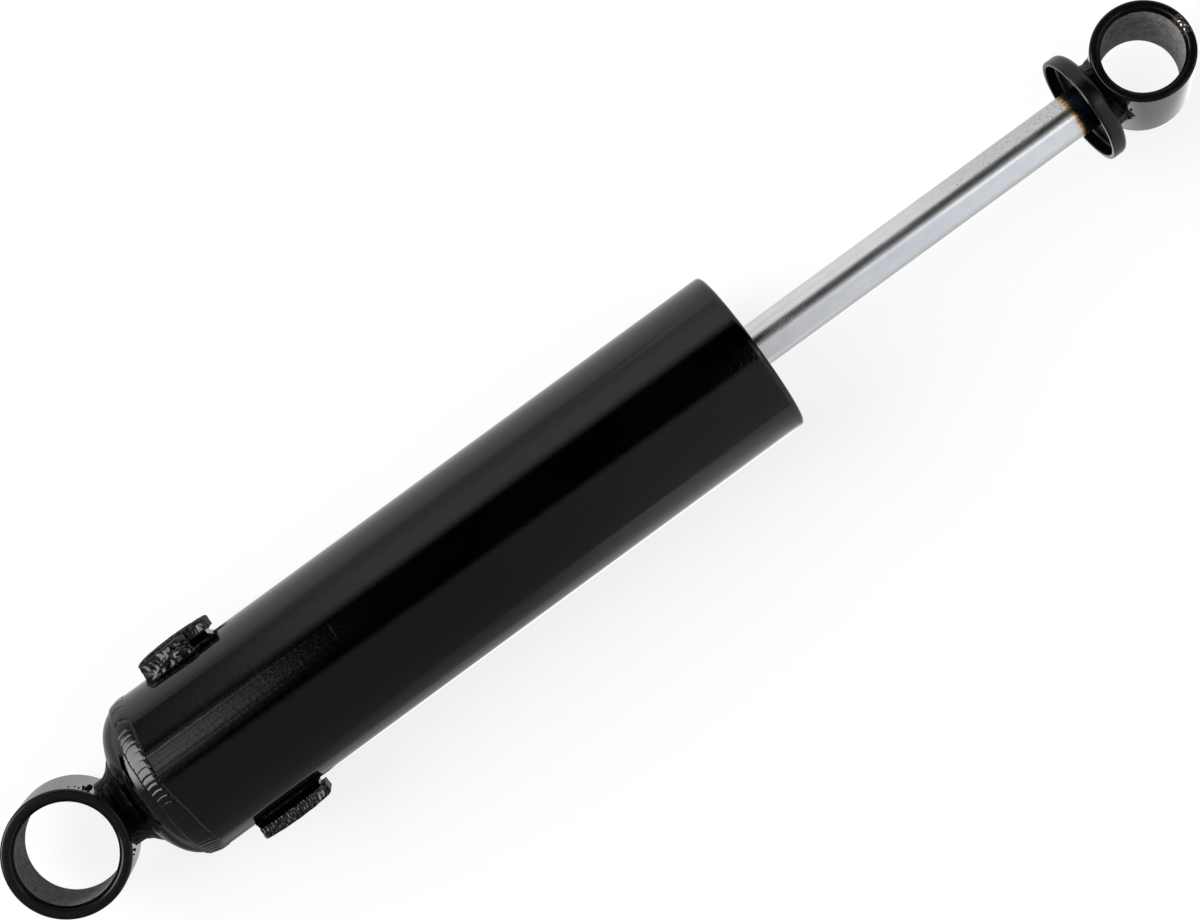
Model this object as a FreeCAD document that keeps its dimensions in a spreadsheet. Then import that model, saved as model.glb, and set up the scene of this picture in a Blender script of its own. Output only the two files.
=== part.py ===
import FreeCAD, Part
import math
import os
import Sketcher

# Single-tube gas shock absorber, fully extended, in millimetres.
# X runs along the shock from the centre of the body eye to the rod eye, Z is the axis of the
# body eye's bore, and the two lugs stand at +Y (left) and -Y (right).
# Every station along X follows from the one before it, so a longer piece pushes the rest along.

Vector = FreeCAD.Vector
document = FreeCAD.newDocument("gas_shock")

SIZES = {
    # body eye and its weld neck
    "body_eye_bore": 27.0,
    "body_eye_wall": 3.5,
    "body_eye_width": 25.4,
    "eye_outer_chamfer": 0.5,
    "eye_inner_chamfer": 0.8,
    "body_eye_gap": 1.4,
    "body_neck_eye_toe": 10.6,
    "body_neck_cap_toe": 13.4,
    "body_neck_hollow": 5.6,
    "weld_bite": 0.4,
    # end cap and its bead
    "cap_depth": 15.6,
    "cap_knuckle": 12.5,
    "cap_skirt": 1.0,
    "cap_skirt_wall": 3.2,
    "cap_floor": 5.0,
    "cap_pocket_round": 7.0,
    "cap_bead_width": 6.4,
    "cap_bead_crown": 7.0,
    "tube_bevel": 2.0,
    # body tube
    "tube_od": 47.6,
    "tube_wall": 2.3,
    "lip_thickness": 2.3,
    "lip_width": 3.0,
    "lip_corner": 1.2,
    # clearances: between seated pieces, and between pieces that slide or turn
    "seat_clearance": 0.02,
    "running_clearance": 0.05,
    # lugs
    "lug_offset": 8.5,
    "lug_length": 21.0,
    "lug_thickness": 3.0,
    "lug_standoff": 1.5,
    "lug_width": 12.0,
    "lug_arch": 80.0,
    "lug_corner": 0.8,
    "lug_weld_inset": 1.2,
    "lug_weld_foot": 2.0,
    # gas chamber and floating piston
    "gas_chamber": 15.85,
    "floating_length": 14.5,
    "floating_crown": 5.0,
    "floating_wall": 5.0,
    "ring_width": 3.0,
    "ring_side_gap": 0.15,
    "ring_groove_depth": 2.2,
    "ring_round": 0.9,
    # travel
    "stroke": 100.0,
    "bottoming_gap": 6.0,
    "top_out_gap": 0.3,
    # piston rod and the stack on its spigot
    "rod_dia": 12.5,
    "spigot_dia": 10.0,
    "spigot_end": 1.5,
    "rod_chamfer": 0.8,
    "nut_height": 8.0,
    "nut_across_flats": 17.0,
    "nut_chamfer": 1.0,
    "shim_washer_od": 16.0,
    "shim_washer_thickness": 2.4,
    "shim_thickness": 0.4,
    "rebound_shim_od": 20.4,
    "rebound_shim_step": 1.4,
    "compression_shim_od": 31.0,
    "compression_shim_step": 4.0,
    "piston_length": 14.0,
    "piston_side_gap": 0.4,
    "band_width": 9.0,
    "band_thickness": 1.8,
    "band_slit": 1.2,
    "compression_port_dia": 4.5,
    "compression_port_circle": 25.0,
    "rebound_port_dia": 3.0,
    "rebound_port_circle": 16.4,
    "rebound_port_inset": 3.3,
    "stop_plate_thickness": 3.0,
    "stop_plate_od": 26.0,
    "bumper_length": 5.0,
    "bumper_od": 24.0,
    "bumper_round": 1.5,
    # rod guide, bush and seals
    "guide_recess": 0.2,
    "guide_rod_gap": 0.4,
    "bush_inset": 0.5,
    "bush_length": 10.0,
    "bush_wall": 1.0,
    "seal_land": 1.5,
    "seal_od": 22.0,
    "seal_length": 4.5,
    "seal_waist": 0.9,
    "seal_lip": 0.7,
    "seal_washer_thickness": 1.0,
    "wiper_length": 2.5,
    "wiper_lip_height": 1.2,
    "stop_wire_dia": 2.0,
    "stop_wire_bite": 0.9,
    # bump stop cup and rod eye
    "cup_clearance": 7.1,
    "cup_od": 31.0,
    "cup_height": 4.0,
    "cup_wall": 1.2,
    "cup_floor": 1.5,
    "cup_corner": 1.6,
    "cup_inner_round": 0.7,
    "rod_neck_length": 2.4,
    "rod_root_gap": 0.6,
    "rod_neck_toe": 10.4,
    "rod_neck_hollow": 12.0,
    "rod_eye_bore": 22.0,
    "rod_eye_wall": 3.0,
    "rod_eye_width": 25.4,
}
ROD_EYE_TURN = -17.3  # degrees that the rod eye stands turned about X from the body eye
STOP_WIRE_ARC = 340.0  # degrees of wire in the open stop ring
SHIMS_IN_STACK = 4
PORTS_IN_RING = 6
SAME = 0.001  # millimetres, or cubic millimetres, that count as no difference


class Length:
    """A length with its number in millimetres and the expression that a property is bound to."""

    def __init__(self, text, mm):
        self.text = text
        self.mm = mm

    def __add__(self, other):
        other = as_length(other)
        return Length(f"({self.text} + {other.text})", self.mm + other.mm)

    def __sub__(self, other):
        other = as_length(other)
        return Length(f"({self.text} - {other.text})", self.mm - other.mm)

    def __mul__(self, other):
        other = as_length(other)
        return Length(f"({self.text} * {other.text})", self.mm * other.mm)

    def __truediv__(self, other):
        other = as_length(other)
        return Length(f"({self.text} / {other.text})", self.mm / other.mm)

    def __rsub__(self, other):
        return as_length(other) - self

    def __rmul__(self, other):
        return as_length(other) * self

    def root(self):
        return Length(f"sqrt({self.text})", math.sqrt(self.mm))


def as_length(value):
    return value if isinstance(value, Length) else Length(str(value), float(value))


class Sizes:
    """The driving dimensions, one attribute for each named cell of the sheet."""

    def __init__(self, sheet):
        for row, (name, value) in enumerate(SIZES.items(), 1):
            sheet.set(f"A{row}", name)
            sheet.set(f"B{row}", str(value))
            sheet.setAlias(f"B{row}", name)
            setattr(self, name, Length(f"{sheet.Name}.{name}", value))


size = Sizes(document.addObject("Spreadsheet::Sheet", "Sizes"))
stations = document.addObject("Spreadsheet::Sheet", "Stations")
station_count = 0


def station(name, length):
    """Keep a place along X in the second sheet, so that pieces are bound to it by name."""
    global station_count
    station_count += 1
    stations.set(f"A{station_count}", name)
    stations.set(f"B{station_count}", "=" + length.text)
    stations.setAlias(f"B{station_count}", name)
    return Length(f"{stations.Name}.{name}", length.mm)


def origin_plane(body, role):
    return next(plane for plane in body.Origin.OriginFeatures if plane.Role == role)


def new_sketch(body, name, role):
    sketch = body.newObject("Sketcher::SketchObject", name)
    sketch.AttachmentSupport = [(origin_plane(body, role), "")]
    sketch.MapMode = "FlatFace"
    return sketch


def pin(sketch, curve, end, x, y):
    """Bind one end of a curve to its distances from the sketch's origin."""
    for kind, axis, value in (("DistanceX", -2, as_length(x)), ("DistanceY", -1, as_length(y))):
        if value.mm == 0:
            sketch.addConstraint(Sketcher.Constraint("PointOnObject", curve, end, axis))
        else:
            index = sketch.addConstraint(Sketcher.Constraint(kind, -1, 1, curve, end, value.mm))
            sketch.setExpression(f"Constraints[{index}]", value.text)


def bind_radius(sketch, curve, radius):
    index = sketch.addConstraint(Sketcher.Constraint("Radius", curve, radius.mm))
    sketch.setExpression(f"Constraints[{index}]", radius.text)


def add_circle(sketch, x, y, radius):
    x, y = as_length(x), as_length(y)
    curve = sketch.addGeometry(Part.Circle(Vector(x.mm, y.mm, 0), Vector(0, 0, 1), radius.mm))
    pin(sketch, curve, 3, x, y)
    bind_radius(sketch, curve, radius)


def arc_between(start, stop, radius, turn):
    """The minor arc from start to stop, turning left or right on its way."""
    chord = stop.sub(start)
    side = 1 if turn == "left" else -1
    reach = math.sqrt(radius ** 2 - (chord.Length / 2) ** 2)
    centre = start.add(chord.multiply(0.5))
    centre = centre.add(Vector(-chord.y, chord.x, 0).normalize().multiply(side * reach))
    angles = [math.atan2(point.y - centre.y, point.x - centre.x) for point in (start, stop)]
    if turn == "right":
        angles.reverse()
    return Part.ArcOfCircle(Part.Circle(centre, Vector(0, 0, 1), radius), *angles)


def add_outline(sketch, corners, arcs=None):
    """A closed outline with every corner pinned; arcs maps a corner's number to the radius
    and turn of the arc that leaves it."""
    corners = [(as_length(x), as_length(y)) for x, y in corners]
    points = [Vector(x.mm, y.mm, 0) for x, y in corners]
    ends = []
    for number, start in enumerate(points):
        stop = points[(number + 1) % len(points)]
        if arcs and number in arcs:
            radius, turn = arcs[number]
            curve = sketch.addGeometry(arc_between(start, stop, radius.mm, turn))
            bind_radius(sketch, curve, radius)
            ends.append((curve, 1, 2) if turn == "left" else (curve, 2, 1))
        else:
            curve = sketch.addGeometry(Part.LineSegment(start, stop))
            ends.append((curve, 1, 2))
    for number, (curve, first, last) in enumerate(ends):
        before, _, before_last = ends[number - 1]
        sketch.addConstraint(Sketcher.Constraint("Coincident", before, before_last, curve, first))
        pin(sketch, curve, first, *corners[number])


def new_body(name, place=None, turn=0.0):
    """A piece whose own zero stands at a station along X, turned about X."""
    body = document.addObject("PartDesign::Body", name)
    body.Label = name
    body.Placement = FreeCAD.Placement(Vector(), FreeCAD.Rotation(Vector(1, 0, 0), turn))
    if place is not None:
        body.setExpression(".Placement.Base.x", place.text)
    return body


def add_turning(body, name, angle=360.0):
    """The sketch that was added last, turned about X."""
    sketch = body.Group[-1]
    turning = body.newObject("PartDesign::Revolution", name)
    turning.Profile = sketch
    turning.ReferenceAxis = (sketch, ["H_Axis"])
    turning.Angle = angle
    return turning


def turned(name, place, corners, arcs=None, angle=360.0):
    """A round piece, from its section of (distance along X, radius) corners."""
    body = new_body(name, place)
    add_outline(new_sketch(body, f"{name}_section", "XY_Plane"), corners, arcs)
    add_turning(body, f"{name}_turned", angle)
    document.recompute()
    return body


def pad_both_ways(body, name, length):
    """The sketch that was added last, padded by half the length to each side."""
    sketch = body.Group[-1]
    pad = body.newObject("PartDesign::Pad", name)
    pad.Profile = sketch
    pad.SideType = "Symmetric"
    pad.setExpression("Length", length.text)
    document.recompute()


def circles_at(body, *places):
    """The names of the round edges about X at the given (distance along X, radius) places."""
    names = []
    for number, edge in enumerate(body.Tip.Shape.Edges, 1):
        if not edge.Degenerated and isinstance(edge.Curve, Part.Circle):
            seen = (edge.Curve.Center.x, edge.Curve.Radius)
            if any(math.dist(seen, (as_length(x).mm, r.mm)) < SAME for x, r in places):
                names.append(f"Edge{number}")
    return names


def dress(body, kind, amount, edges):
    """A fillet or chamfer of one size on the named edges."""
    base = body.Tip
    feature = body.newObject(f"PartDesign::{kind}", f"{body.Name}_{kind.lower()}")
    feature.Base = (base, edges)
    feature.setExpression("Radius" if kind == "Fillet" else "Size", amount.text)
    document.recompute()


def remove(body, name, sketch, length, direction=None):
    """A pocket that is checked to take material away."""
    before = body.Tip.Shape.Volume
    pocket = body.newObject("PartDesign::Pocket", name)
    pocket.Profile = sketch
    pocket.Reversed = True
    pocket.setExpression("Length", length.text)
    if direction is not None:
        pocket.UseCustomVector = True
        pocket.Direction = direction
    document.recompute()
    if body.Tip.Shape.Volume > before - SAME:
        raise RuntimeError(f"{name} removes nothing")
    return pocket


def turn_away(body, name, sketch):
    """A groove about X that is checked to take material away."""
    document.recompute()
    before = body.Tip.Shape.Volume
    groove = body.newObject("PartDesign::Groove", name)
    groove.Profile = sketch
    groove.ReferenceAxis = (sketch, ["H_Axis"])
    groove.Angle = 360.0
    document.recompute()
    if body.Tip.Shape.Volume > before - SAME:
        raise RuntimeError(f"{name} removes nothing")


def cut(name, base, tool):
    result = document.addObject("Part::Cut", name)
    result.Base = base
    result.Tool = tool
    return result


def plain_bar(name, radius, length, place, turn):
    """A plain cylinder centred on a station, along X for no turn and across it otherwise."""
    bar = document.addObject("Part::Cylinder", name)
    bar.setExpression("Radius", radius.text)
    bar.setExpression("Height", length.text)
    bar.Placement.Rotation = turn
    bar.setExpression(".Placement.Base.x", place.text)
    return bar


# Stations along X

body_eye_radius = size.body_eye_bore / 2 + size.body_eye_wall
rod_eye_radius = size.rod_eye_bore / 2 + size.rod_eye_wall
tube_radius = size.tube_od / 2
bore_radius = tube_radius - size.tube_wall
lip_radius = bore_radius - size.lip_width
rod_radius = size.rod_dia / 2
spigot_radius = size.spigot_dia / 2
stack_thickness = size.shim_thickness * SHIMS_IN_STACK
rod_share = rod_radius * rod_radius / (bore_radius * bore_radius)
bush_end = size.bush_inset + size.bush_length
seal_pocket = bush_end + size.seal_land
guide_nose_end = seal_pocket + size.seal_length + size.seal_washer_thickness + size.wiper_length
guide_length = guide_nose_end + size.guide_recess - size.lip_thickness

cap_apex = station("cap_apex", body_eye_radius + size.body_eye_gap)
tube_edge = station("tube_edge", cap_apex + size.cap_depth)
tube_root = station("tube_root", tube_edge - size.tube_bevel)
cap_skirt_end = station("cap_skirt_end", tube_edge + size.cap_skirt)
gas_face = station("gas_face", cap_skirt_end + size.gas_chamber)
oil_face = station("oil_face", gas_face + size.floating_length)
# At full bump the rod tip has come in by the stroke, and its volume of oil has pushed the
# floating piston back by the share of the bore that the rod fills.
rod_tip = station("rod_tip", oil_face + size.bottoming_gap + size.stroke * (1 - rod_share))
nut_face = station("nut_face", rod_tip + size.spigot_end)
washer_face = station("washer_face", nut_face + size.nut_height)
rebound_stack = station("rebound_stack", washer_face + size.shim_washer_thickness)
piston_face = station("piston_face", rebound_stack + stack_thickness)
compression_stack = station("compression_stack", piston_face + size.piston_length)
stop_plate_face = station("stop_plate_face", compression_stack + stack_thickness)
shoulder = station("shoulder", stop_plate_face + size.stop_plate_thickness)
bumper_end = station("bumper_end", shoulder + size.bumper_length)
guide_face = station("guide_face", bumper_end + size.top_out_gap)
lip_face = station("lip_face", guide_face + guide_length)
tube_end = station("tube_end", lip_face + size.lip_thickness)
cup_rim = station("cup_rim", tube_end + size.stroke + size.cup_clearance)
cup_back = station("cup_back", cup_rim + size.cup_height)
rod_eye_centre = station("rod_eye_centre", cup_back + size.rod_neck_length + rod_eye_radius)
document.recompute()


# Eyes: short lengths of heavy tube that take a bushing, chamfered inside and out

def eye(name, place, turn, outer_radius, inner_radius, width):
    body = new_body(name, place, turn)
    sketch = new_sketch(body, f"{name}_rings", "XY_Plane")
    add_circle(sketch, 0, 0, outer_radius)
    add_circle(sketch, 0, 0, inner_radius)
    pad_both_ways(body, f"{name}_length", width)
    for radius, chamfer in (
        (outer_radius, size.eye_outer_chamfer),
        (inner_radius, size.eye_inner_chamfer),
    ):
        rims = []
        for number, edge in enumerate(body.Tip.Shape.Edges, 1):
            if isinstance(edge.Curve, Part.Circle) and abs(edge.Curve.Radius - radius.mm) < SAME:
                rims.append(f"Edge{number}")
        dress(body, "Chamfer", chamfer, rims)
    return body


body_eye = eye(
    "body_eye",
    as_length(0),
    0,
    body_eye_radius,
    size.body_eye_bore / 2,
    size.body_eye_width,
)
rod_eye = eye(
    "rod_eye",
    rod_eye_centre,
    ROD_EYE_TURN,
    rod_eye_radius,
    size.rod_eye_bore / 2,
    size.rod_eye_width,
)


# End cap: a forged dome of crown and knuckle arcs, with a spigot that plugs the tube

knuckle_height = tube_radius - size.cap_knuckle
bead_toe = tube_edge - size.cap_bead_width
bead_toe_radius = knuckle_height + (
    size.cap_knuckle * size.cap_knuckle - size.cap_bead_width * size.cap_bead_width
).root()
# the crown arc is centred on the axis and meets the knuckle arc in a smooth line
crown_radius = (
    size.cap_depth * size.cap_depth
    + knuckle_height * knuckle_height
    - size.cap_knuckle * size.cap_knuckle
) / ((size.cap_depth - size.cap_knuckle) * 2)
spigot_wall = bore_radius - size.seat_clearance
pocket_radius = bore_radius - size.cap_skirt_wall
pocket_floor = cap_apex + size.cap_floor


def end_cap_piece():
    body = new_body("end_cap")
    sketch = new_sketch(body, "end_cap_section", "XY_Plane")
    crown_centre = Vector(cap_apex.mm + crown_radius.mm, 0, 0)
    knuckle_centre = Vector(tube_edge.mm, knuckle_height.mm, 0)
    crown_circle = Part.Circle(crown_centre, Vector(0, 0, 1), crown_radius.mm)
    knuckle_circle = Part.Circle(knuckle_centre, Vector(0, 0, 1), size.cap_knuckle.mm)
    slope = math.atan2(knuckle_centre.y, knuckle_centre.x - crown_centre.x)
    toe = math.atan2(bead_toe_radius.mm - knuckle_centre.y, -size.cap_bead_width.mm)
    crown_arc = sketch.addGeometry(Part.ArcOfCircle(crown_circle, slope, math.pi))
    knuckle_arc = sketch.addGeometry(Part.ArcOfCircle(knuckle_circle, toe, slope))
    corners = [
        (bead_toe, bead_toe_radius),
        (bead_toe, spigot_wall),
        (cap_skirt_end, spigot_wall),
        (cap_skirt_end, as_length(0)),
        (cap_apex, as_length(0)),
    ]
    points = [Vector(x.mm, y.mm, 0) for x, y in corners]
    lines = [
        sketch.addGeometry(Part.LineSegment(start, stop))
        for start, stop in zip(points, points[1:])
    ]
    sketch.addConstraint(Sketcher.Constraint("Tangent", crown_arc, 1, knuckle_arc, 2))
    sketch.addConstraint(Sketcher.Constraint("PointOnObject", crown_arc, 3, -1))
    pin(sketch, knuckle_arc, 3, tube_edge, knuckle_height)
    bind_radius(sketch, knuckle_arc, size.cap_knuckle)
    sketch.addConstraint(Sketcher.Constraint("Coincident", knuckle_arc, 1, lines[0], 1))
    sketch.addConstraint(Sketcher.Constraint("Coincident", crown_arc, 2, lines[-1], 2))
    index = sketch.addConstraint(
        Sketcher.Constraint("DistanceX", -1, 1, lines[0], 1, bead_toe.mm)
    )
    sketch.setExpression(f"Constraints[{index}]", bead_toe.text)
    for number, line in enumerate(lines[1:], 1):
        sketch.addConstraint(Sketcher.Constraint("Coincident", lines[number - 1], 2, line, 1))
        pin(sketch, line, 1, *corners[number])
    pin(sketch, lines[-1], 2, *corners[-1])
    add_turning(body, "end_cap_turned")
    pocket = new_sketch(body, "gas_pocket_section", "XY_Plane")
    add_outline(
        pocket,
        [
            (cap_skirt_end, 0),
            (cap_skirt_end, pocket_radius),
            (pocket_floor + size.cap_pocket_round, pocket_radius),
            (pocket_floor, pocket_radius - size.cap_pocket_round),
            (pocket_floor, 0),
        ],
        {2: (size.cap_pocket_round, "left")},
    )
    turn_away(body, "gas_pocket", pocket)
    return body


end_cap = end_cap_piece()
end_cap_weld = turned(
    "end_cap_weld",
    None,
    [
        (tube_edge, tube_radius),
        (tube_root, bore_radius),
        (bead_toe, bore_radius),
        (bead_toe, bead_toe_radius),
    ],
    {3: (size.cap_bead_crown, "right")},
)


# Weld necks: each fills the root between an eye and the round piece behind it

def eye_blank(name, place, turn, radius, width):
    """A plain cylinder of an eye's outside, that shapes the weld lying against it."""
    rotation = FreeCAD.Rotation(Vector(1, 0, 0), turn)
    blank = plain_bar(name, radius, width * 2, place, rotation)
    base = rotation.multVec(Vector(0, 0, -1))
    blank.setExpression(".Placement.Base.y", (width * base.y).text)
    blank.setExpression(".Placement.Base.z", (width * base.z).text)
    return blank


def toe_depth(eye_radius, toe):
    """How far in front of an eye's centre the weld's toe lies on its wall, less the bite."""
    return (eye_radius * eye_radius - toe * toe).root() - size.weld_bite


body_toe = toe_depth(body_eye_radius, size.body_neck_eye_toe)
crown_toe = crown_radius - (
    crown_radius * crown_radius - size.body_neck_cap_toe * size.body_neck_cap_toe
).root()
body_neck_end = cap_apex + crown_toe + size.weld_bite
body_neck_blank = turned(
    "body_eye_neck",
    None,
    [
        (body_toe, 0),
        (body_toe, size.body_neck_eye_toe),
        (body_neck_end, size.body_neck_cap_toe),
        (body_neck_end, 0),
    ],
    {1: (size.body_neck_hollow, "left")},
)
body_eye_blank = eye_blank("body_eye_blank", as_length(0), 0, body_eye_radius, size.body_eye_width)
body_neck_trimmed = cut("body_eye_neck_trimmed", body_neck_blank, body_eye_blank)
body_eye_weld = cut("body_eye_weld", body_neck_trimmed, end_cap)

rod_toe = rod_eye_centre - toe_depth(rod_eye_radius, size.rod_neck_toe)
rod_end = rod_eye_centre - rod_eye_radius - size.rod_root_gap
rod_neck_blank = turned(
    "rod_eye_neck",
    None,
    [
        (cup_back, rod_radius),
        (cup_back, size.rod_neck_toe),
        (rod_toe, size.rod_neck_toe),
        (rod_toe, 0),
        (rod_end, 0),
        (rod_end, rod_radius),
    ],
    {1: (size.rod_neck_hollow, "left")},
)
rod_eye_blank = eye_blank(
    "rod_eye_blank", rod_eye_centre, ROD_EYE_TURN, rod_eye_radius, size.rod_eye_width
)
rod_eye_weld = cut("rod_eye_weld", rod_neck_blank, rod_eye_blank)


# Body tube: bevelled for the cap's bead, and rolled in to a lip over the rod guide

stop_wire_radius = size.stop_wire_dia / 2
stop_wire_station = station("stop_wire_station", guide_face - stop_wire_radius)
stop_wire_circle = bore_radius - stop_wire_radius + size.stop_wire_bite
body_tube = turned(
    "body_tube",
    None,
    [
        (tube_root, bore_radius),
        (tube_edge, tube_radius),
        (tube_end, tube_radius),
        (tube_end, lip_radius),
        (lip_face, lip_radius),
        (lip_face, bore_radius),
    ],
)
wire_groove = new_sketch(body_tube, "wire_groove_section", "XY_Plane")
add_circle(wire_groove, stop_wire_station, stop_wire_circle, stop_wire_radius + size.seat_clearance)
turn_away(body_tube, "wire_groove", wire_groove)
dress(body_tube, "Fillet", size.lip_corner, circles_at(body_tube, (tube_end, tube_radius)))


# Lugs: two arched plates that stand off the tube on their welds

lug_near = station("lug_near", tube_edge + size.lug_offset)
lug_inside = tube_radius + size.lug_standoff
lug_outside = lug_inside + size.lug_thickness
tube_blank = plain_bar(
    "tube_blank",
    tube_radius,
    lug_near + size.lug_length * 2,
    as_length(0),
    FreeCAD.Rotation(Vector(0, 1, 0), 90),
)


def lug(name, turn):
    body = new_body(name, lug_near, turn)
    sketch = new_sketch(body, f"{name}_side", "XY_Plane")
    add_outline(
        sketch,
        [
            (0, lug_inside),
            (size.lug_length, lug_inside),
            (size.lug_length, lug_outside),
            (0, lug_outside),
        ],
        {2: (size.lug_arch, "left")},
    )
    pad_both_ways(body, f"{name}_width", size.lug_width)
    corners = []
    for number, edge in enumerate(body.Tip.Shape.Edges, 1):
        if isinstance(edge.Curve, Part.Line) and abs(edge.Curve.Direction.z) > 0.9:
            if abs(edge.Vertexes[0].Y - lug_outside.mm) < SAME:
                corners.append(f"Edge{number}")
    dress(body, "Fillet", size.lug_corner, corners)
    return body


def lug_weld(name, turn):
    """The weld under a lug: wider at its foot, and shaped by the tube that it lies on."""
    inset = size.lug_weld_inset
    top = size.lug_width / 2 - size.weld_bite
    foot = size.lug_width / 2 + size.lug_weld_foot
    body = new_body(f"{name}_blank", lug_near, turn)
    sketch = new_sketch(body, f"{name}_side", "XY_Plane")
    add_outline(
        sketch,
        [
            (inset, tube_radius / 2),
            (size.lug_length - inset, tube_radius / 2),
            (size.lug_length - inset, lug_inside),
            (inset, lug_inside),
        ],
    )
    pad_both_ways(body, f"{name}_width", foot * 2)
    flank = new_sketch(body, f"{name}_flanks", "YZ_Plane")
    for side in (1, -1):
        add_outline(
            flank,
            [
                (lug_inside + size.weld_bite, top * side),
                (lug_inside + size.weld_bite, (foot + size.weld_bite) * side),
                (tube_radius - size.lug_standoff, (foot + size.weld_bite) * side),
            ],
        )
    remove(body, f"{name}_flank_cut", flank, size.lug_length)
    return cut(name, body, tube_blank)


lugs = [lug("lug_left", 0), lug("lug_right", 180)]
lug_welds = [lug_weld("lug_left_weld", 0), lug_weld("lug_right_weld", 180)]


# Rod guide with its bush, seals and stop ring

seal_radius = size.seal_od / 2
bush_radius = rod_radius + size.running_clearance + size.bush_wall
ring_groove_width = size.ring_width + size.ring_side_gap * 2


def ring_groove(length, radius):
    """The four corners of a seal ring's groove, midway along a round wall."""
    near = (length - ring_groove_width) / 2
    far = near + ring_groove_width
    floor = radius - size.ring_groove_depth
    return [(near, radius), (near, floor), (far, floor), (far, radius)]


def seal_ring(name, place, inner, outer):
    """A rubber ring squeezed in its groove, with its corners rounded."""
    width = size.ring_width
    body = turned(name, place, [(0, inner), (width, inner), (width, outer), (0, outer)])
    corners = [(0, inner), (width, inner), (width, outer), (0, outer)]
    dress(body, "Fillet", size.ring_round, circles_at(body, *corners))
    return body


guide_wall = bore_radius - size.seat_clearance
rod_guide = turned(
    "rod_guide",
    guide_face,
    [
        (0, bush_radius + size.seat_clearance),
        (0, guide_wall),
        *ring_groove(guide_length, guide_wall),
        (guide_length, guide_wall),
        (guide_length, lip_radius - size.guide_recess),
        (guide_nose_end, lip_radius - size.guide_recess),
        (guide_nose_end, seal_radius + size.seat_clearance),
        (seal_pocket, seal_radius + size.seat_clearance),
        (seal_pocket, rod_radius + size.guide_rod_gap),
        (bush_end, rod_radius + size.guide_rod_gap),
        (bush_end, bush_radius + size.seat_clearance),
    ],
)
guide_oring = seal_ring(
    "guide_oring",
    guide_face + (guide_length - size.ring_width) / 2,
    guide_wall - size.ring_groove_depth + size.seat_clearance,
    guide_wall,
)
guide_bush = turned(
    "guide_bush",
    guide_face + size.bush_inset,
    [
        (0, rod_radius + size.running_clearance),
        (size.bush_length, rod_radius + size.running_clearance),
        (size.bush_length, bush_radius),
        (0, bush_radius),
    ],
)
seal_lip_radius = rod_radius + size.running_clearance
waist_radius = seal_lip_radius + size.seal_waist
oil_seal = turned(
    "oil_seal",
    guide_face + seal_pocket,
    [
        (0, waist_radius),
        (0, seal_radius),
        (size.seal_length, seal_radius),
        (size.seal_length, waist_radius),
        (size.seal_length - size.seal_lip, seal_lip_radius),
        (size.seal_length - size.seal_lip * 2, seal_lip_radius),
        (size.seal_length - size.seal_lip * 3, waist_radius),
        (size.seal_lip * 2, waist_radius),
        (size.seal_lip * 1.5, seal_lip_radius),
        (size.seal_lip / 2, seal_lip_radius),
    ],
)
seal_washer = turned(
    "seal_washer",
    guide_face + seal_pocket + size.seal_length,
    [
        (0, rod_radius + size.guide_rod_gap),
        (0, seal_radius),
        (size.seal_washer_thickness, seal_radius),
        (size.seal_washer_thickness, rod_radius + size.guide_rod_gap),
    ],
)
wiper_tip = size.wiper_length + size.wiper_lip_height
wiper_seal = turned(
    "wiper_seal",
    guide_face + seal_pocket + size.seal_length + size.seal_washer_thickness,
    [
        (0, waist_radius),
        (0, seal_radius),
        (size.wiper_length, seal_radius),
        (size.wiper_length, seal_lip_radius + size.seal_waist * 3),
        (wiper_tip, seal_lip_radius + size.seal_lip),
        (wiper_tip, seal_lip_radius),
        (wiper_tip - size.seal_lip, seal_lip_radius),
        (size.wiper_length - size.seal_lip, waist_radius),
    ],
)
guide_stop_ring = new_body("guide_stop_ring", stop_wire_station)
add_circle(
    new_sketch(guide_stop_ring, "stop_wire", "XY_Plane"), 0, stop_wire_circle, stop_wire_radius
)
add_turning(guide_stop_ring, "stop_wire_bent", STOP_WIRE_ARC)


# Floating piston and its ring

floating_wall = bore_radius - size.running_clearance
floating_piston = turned(
    "floating_piston",
    gas_face,
    [
        (0, floating_wall - size.floating_wall),
        (0, floating_wall),
        *ring_groove(size.floating_length, floating_wall),
        (size.floating_length, floating_wall),
        (size.floating_length, 0),
        (size.floating_length - size.floating_crown, 0),
        (size.floating_length - size.floating_crown, floating_wall - size.floating_wall),
    ],
)
floating_piston_oring = seal_ring(
    "floating_piston_oring",
    gas_face + (size.floating_length - size.ring_width) / 2,
    floating_wall - size.ring_groove_depth + size.seat_clearance,
    bore_radius - size.seat_clearance,
)


# Piston rod and what is clamped on its spigot by the nut

piston_rod = turned(
    "piston_rod",
    rod_tip,
    [
        (0, 0),
        (0, spigot_radius),
        (shoulder - rod_tip, spigot_radius),
        (shoulder - rod_tip, rod_radius),
        (rod_end - rod_tip, rod_radius),
        (rod_end - rod_tip, 0),
    ],
)
dress(piston_rod, "Chamfer", size.rod_chamfer, circles_at(piston_rod, (0, spigot_radius)))

disc_bore = spigot_radius + size.seat_clearance


def disc(name, place, thickness, radius):
    corners = [(0, disc_bore), (thickness, disc_bore), (thickness, radius), (0, radius)]
    return turned(name, place, corners)


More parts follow.
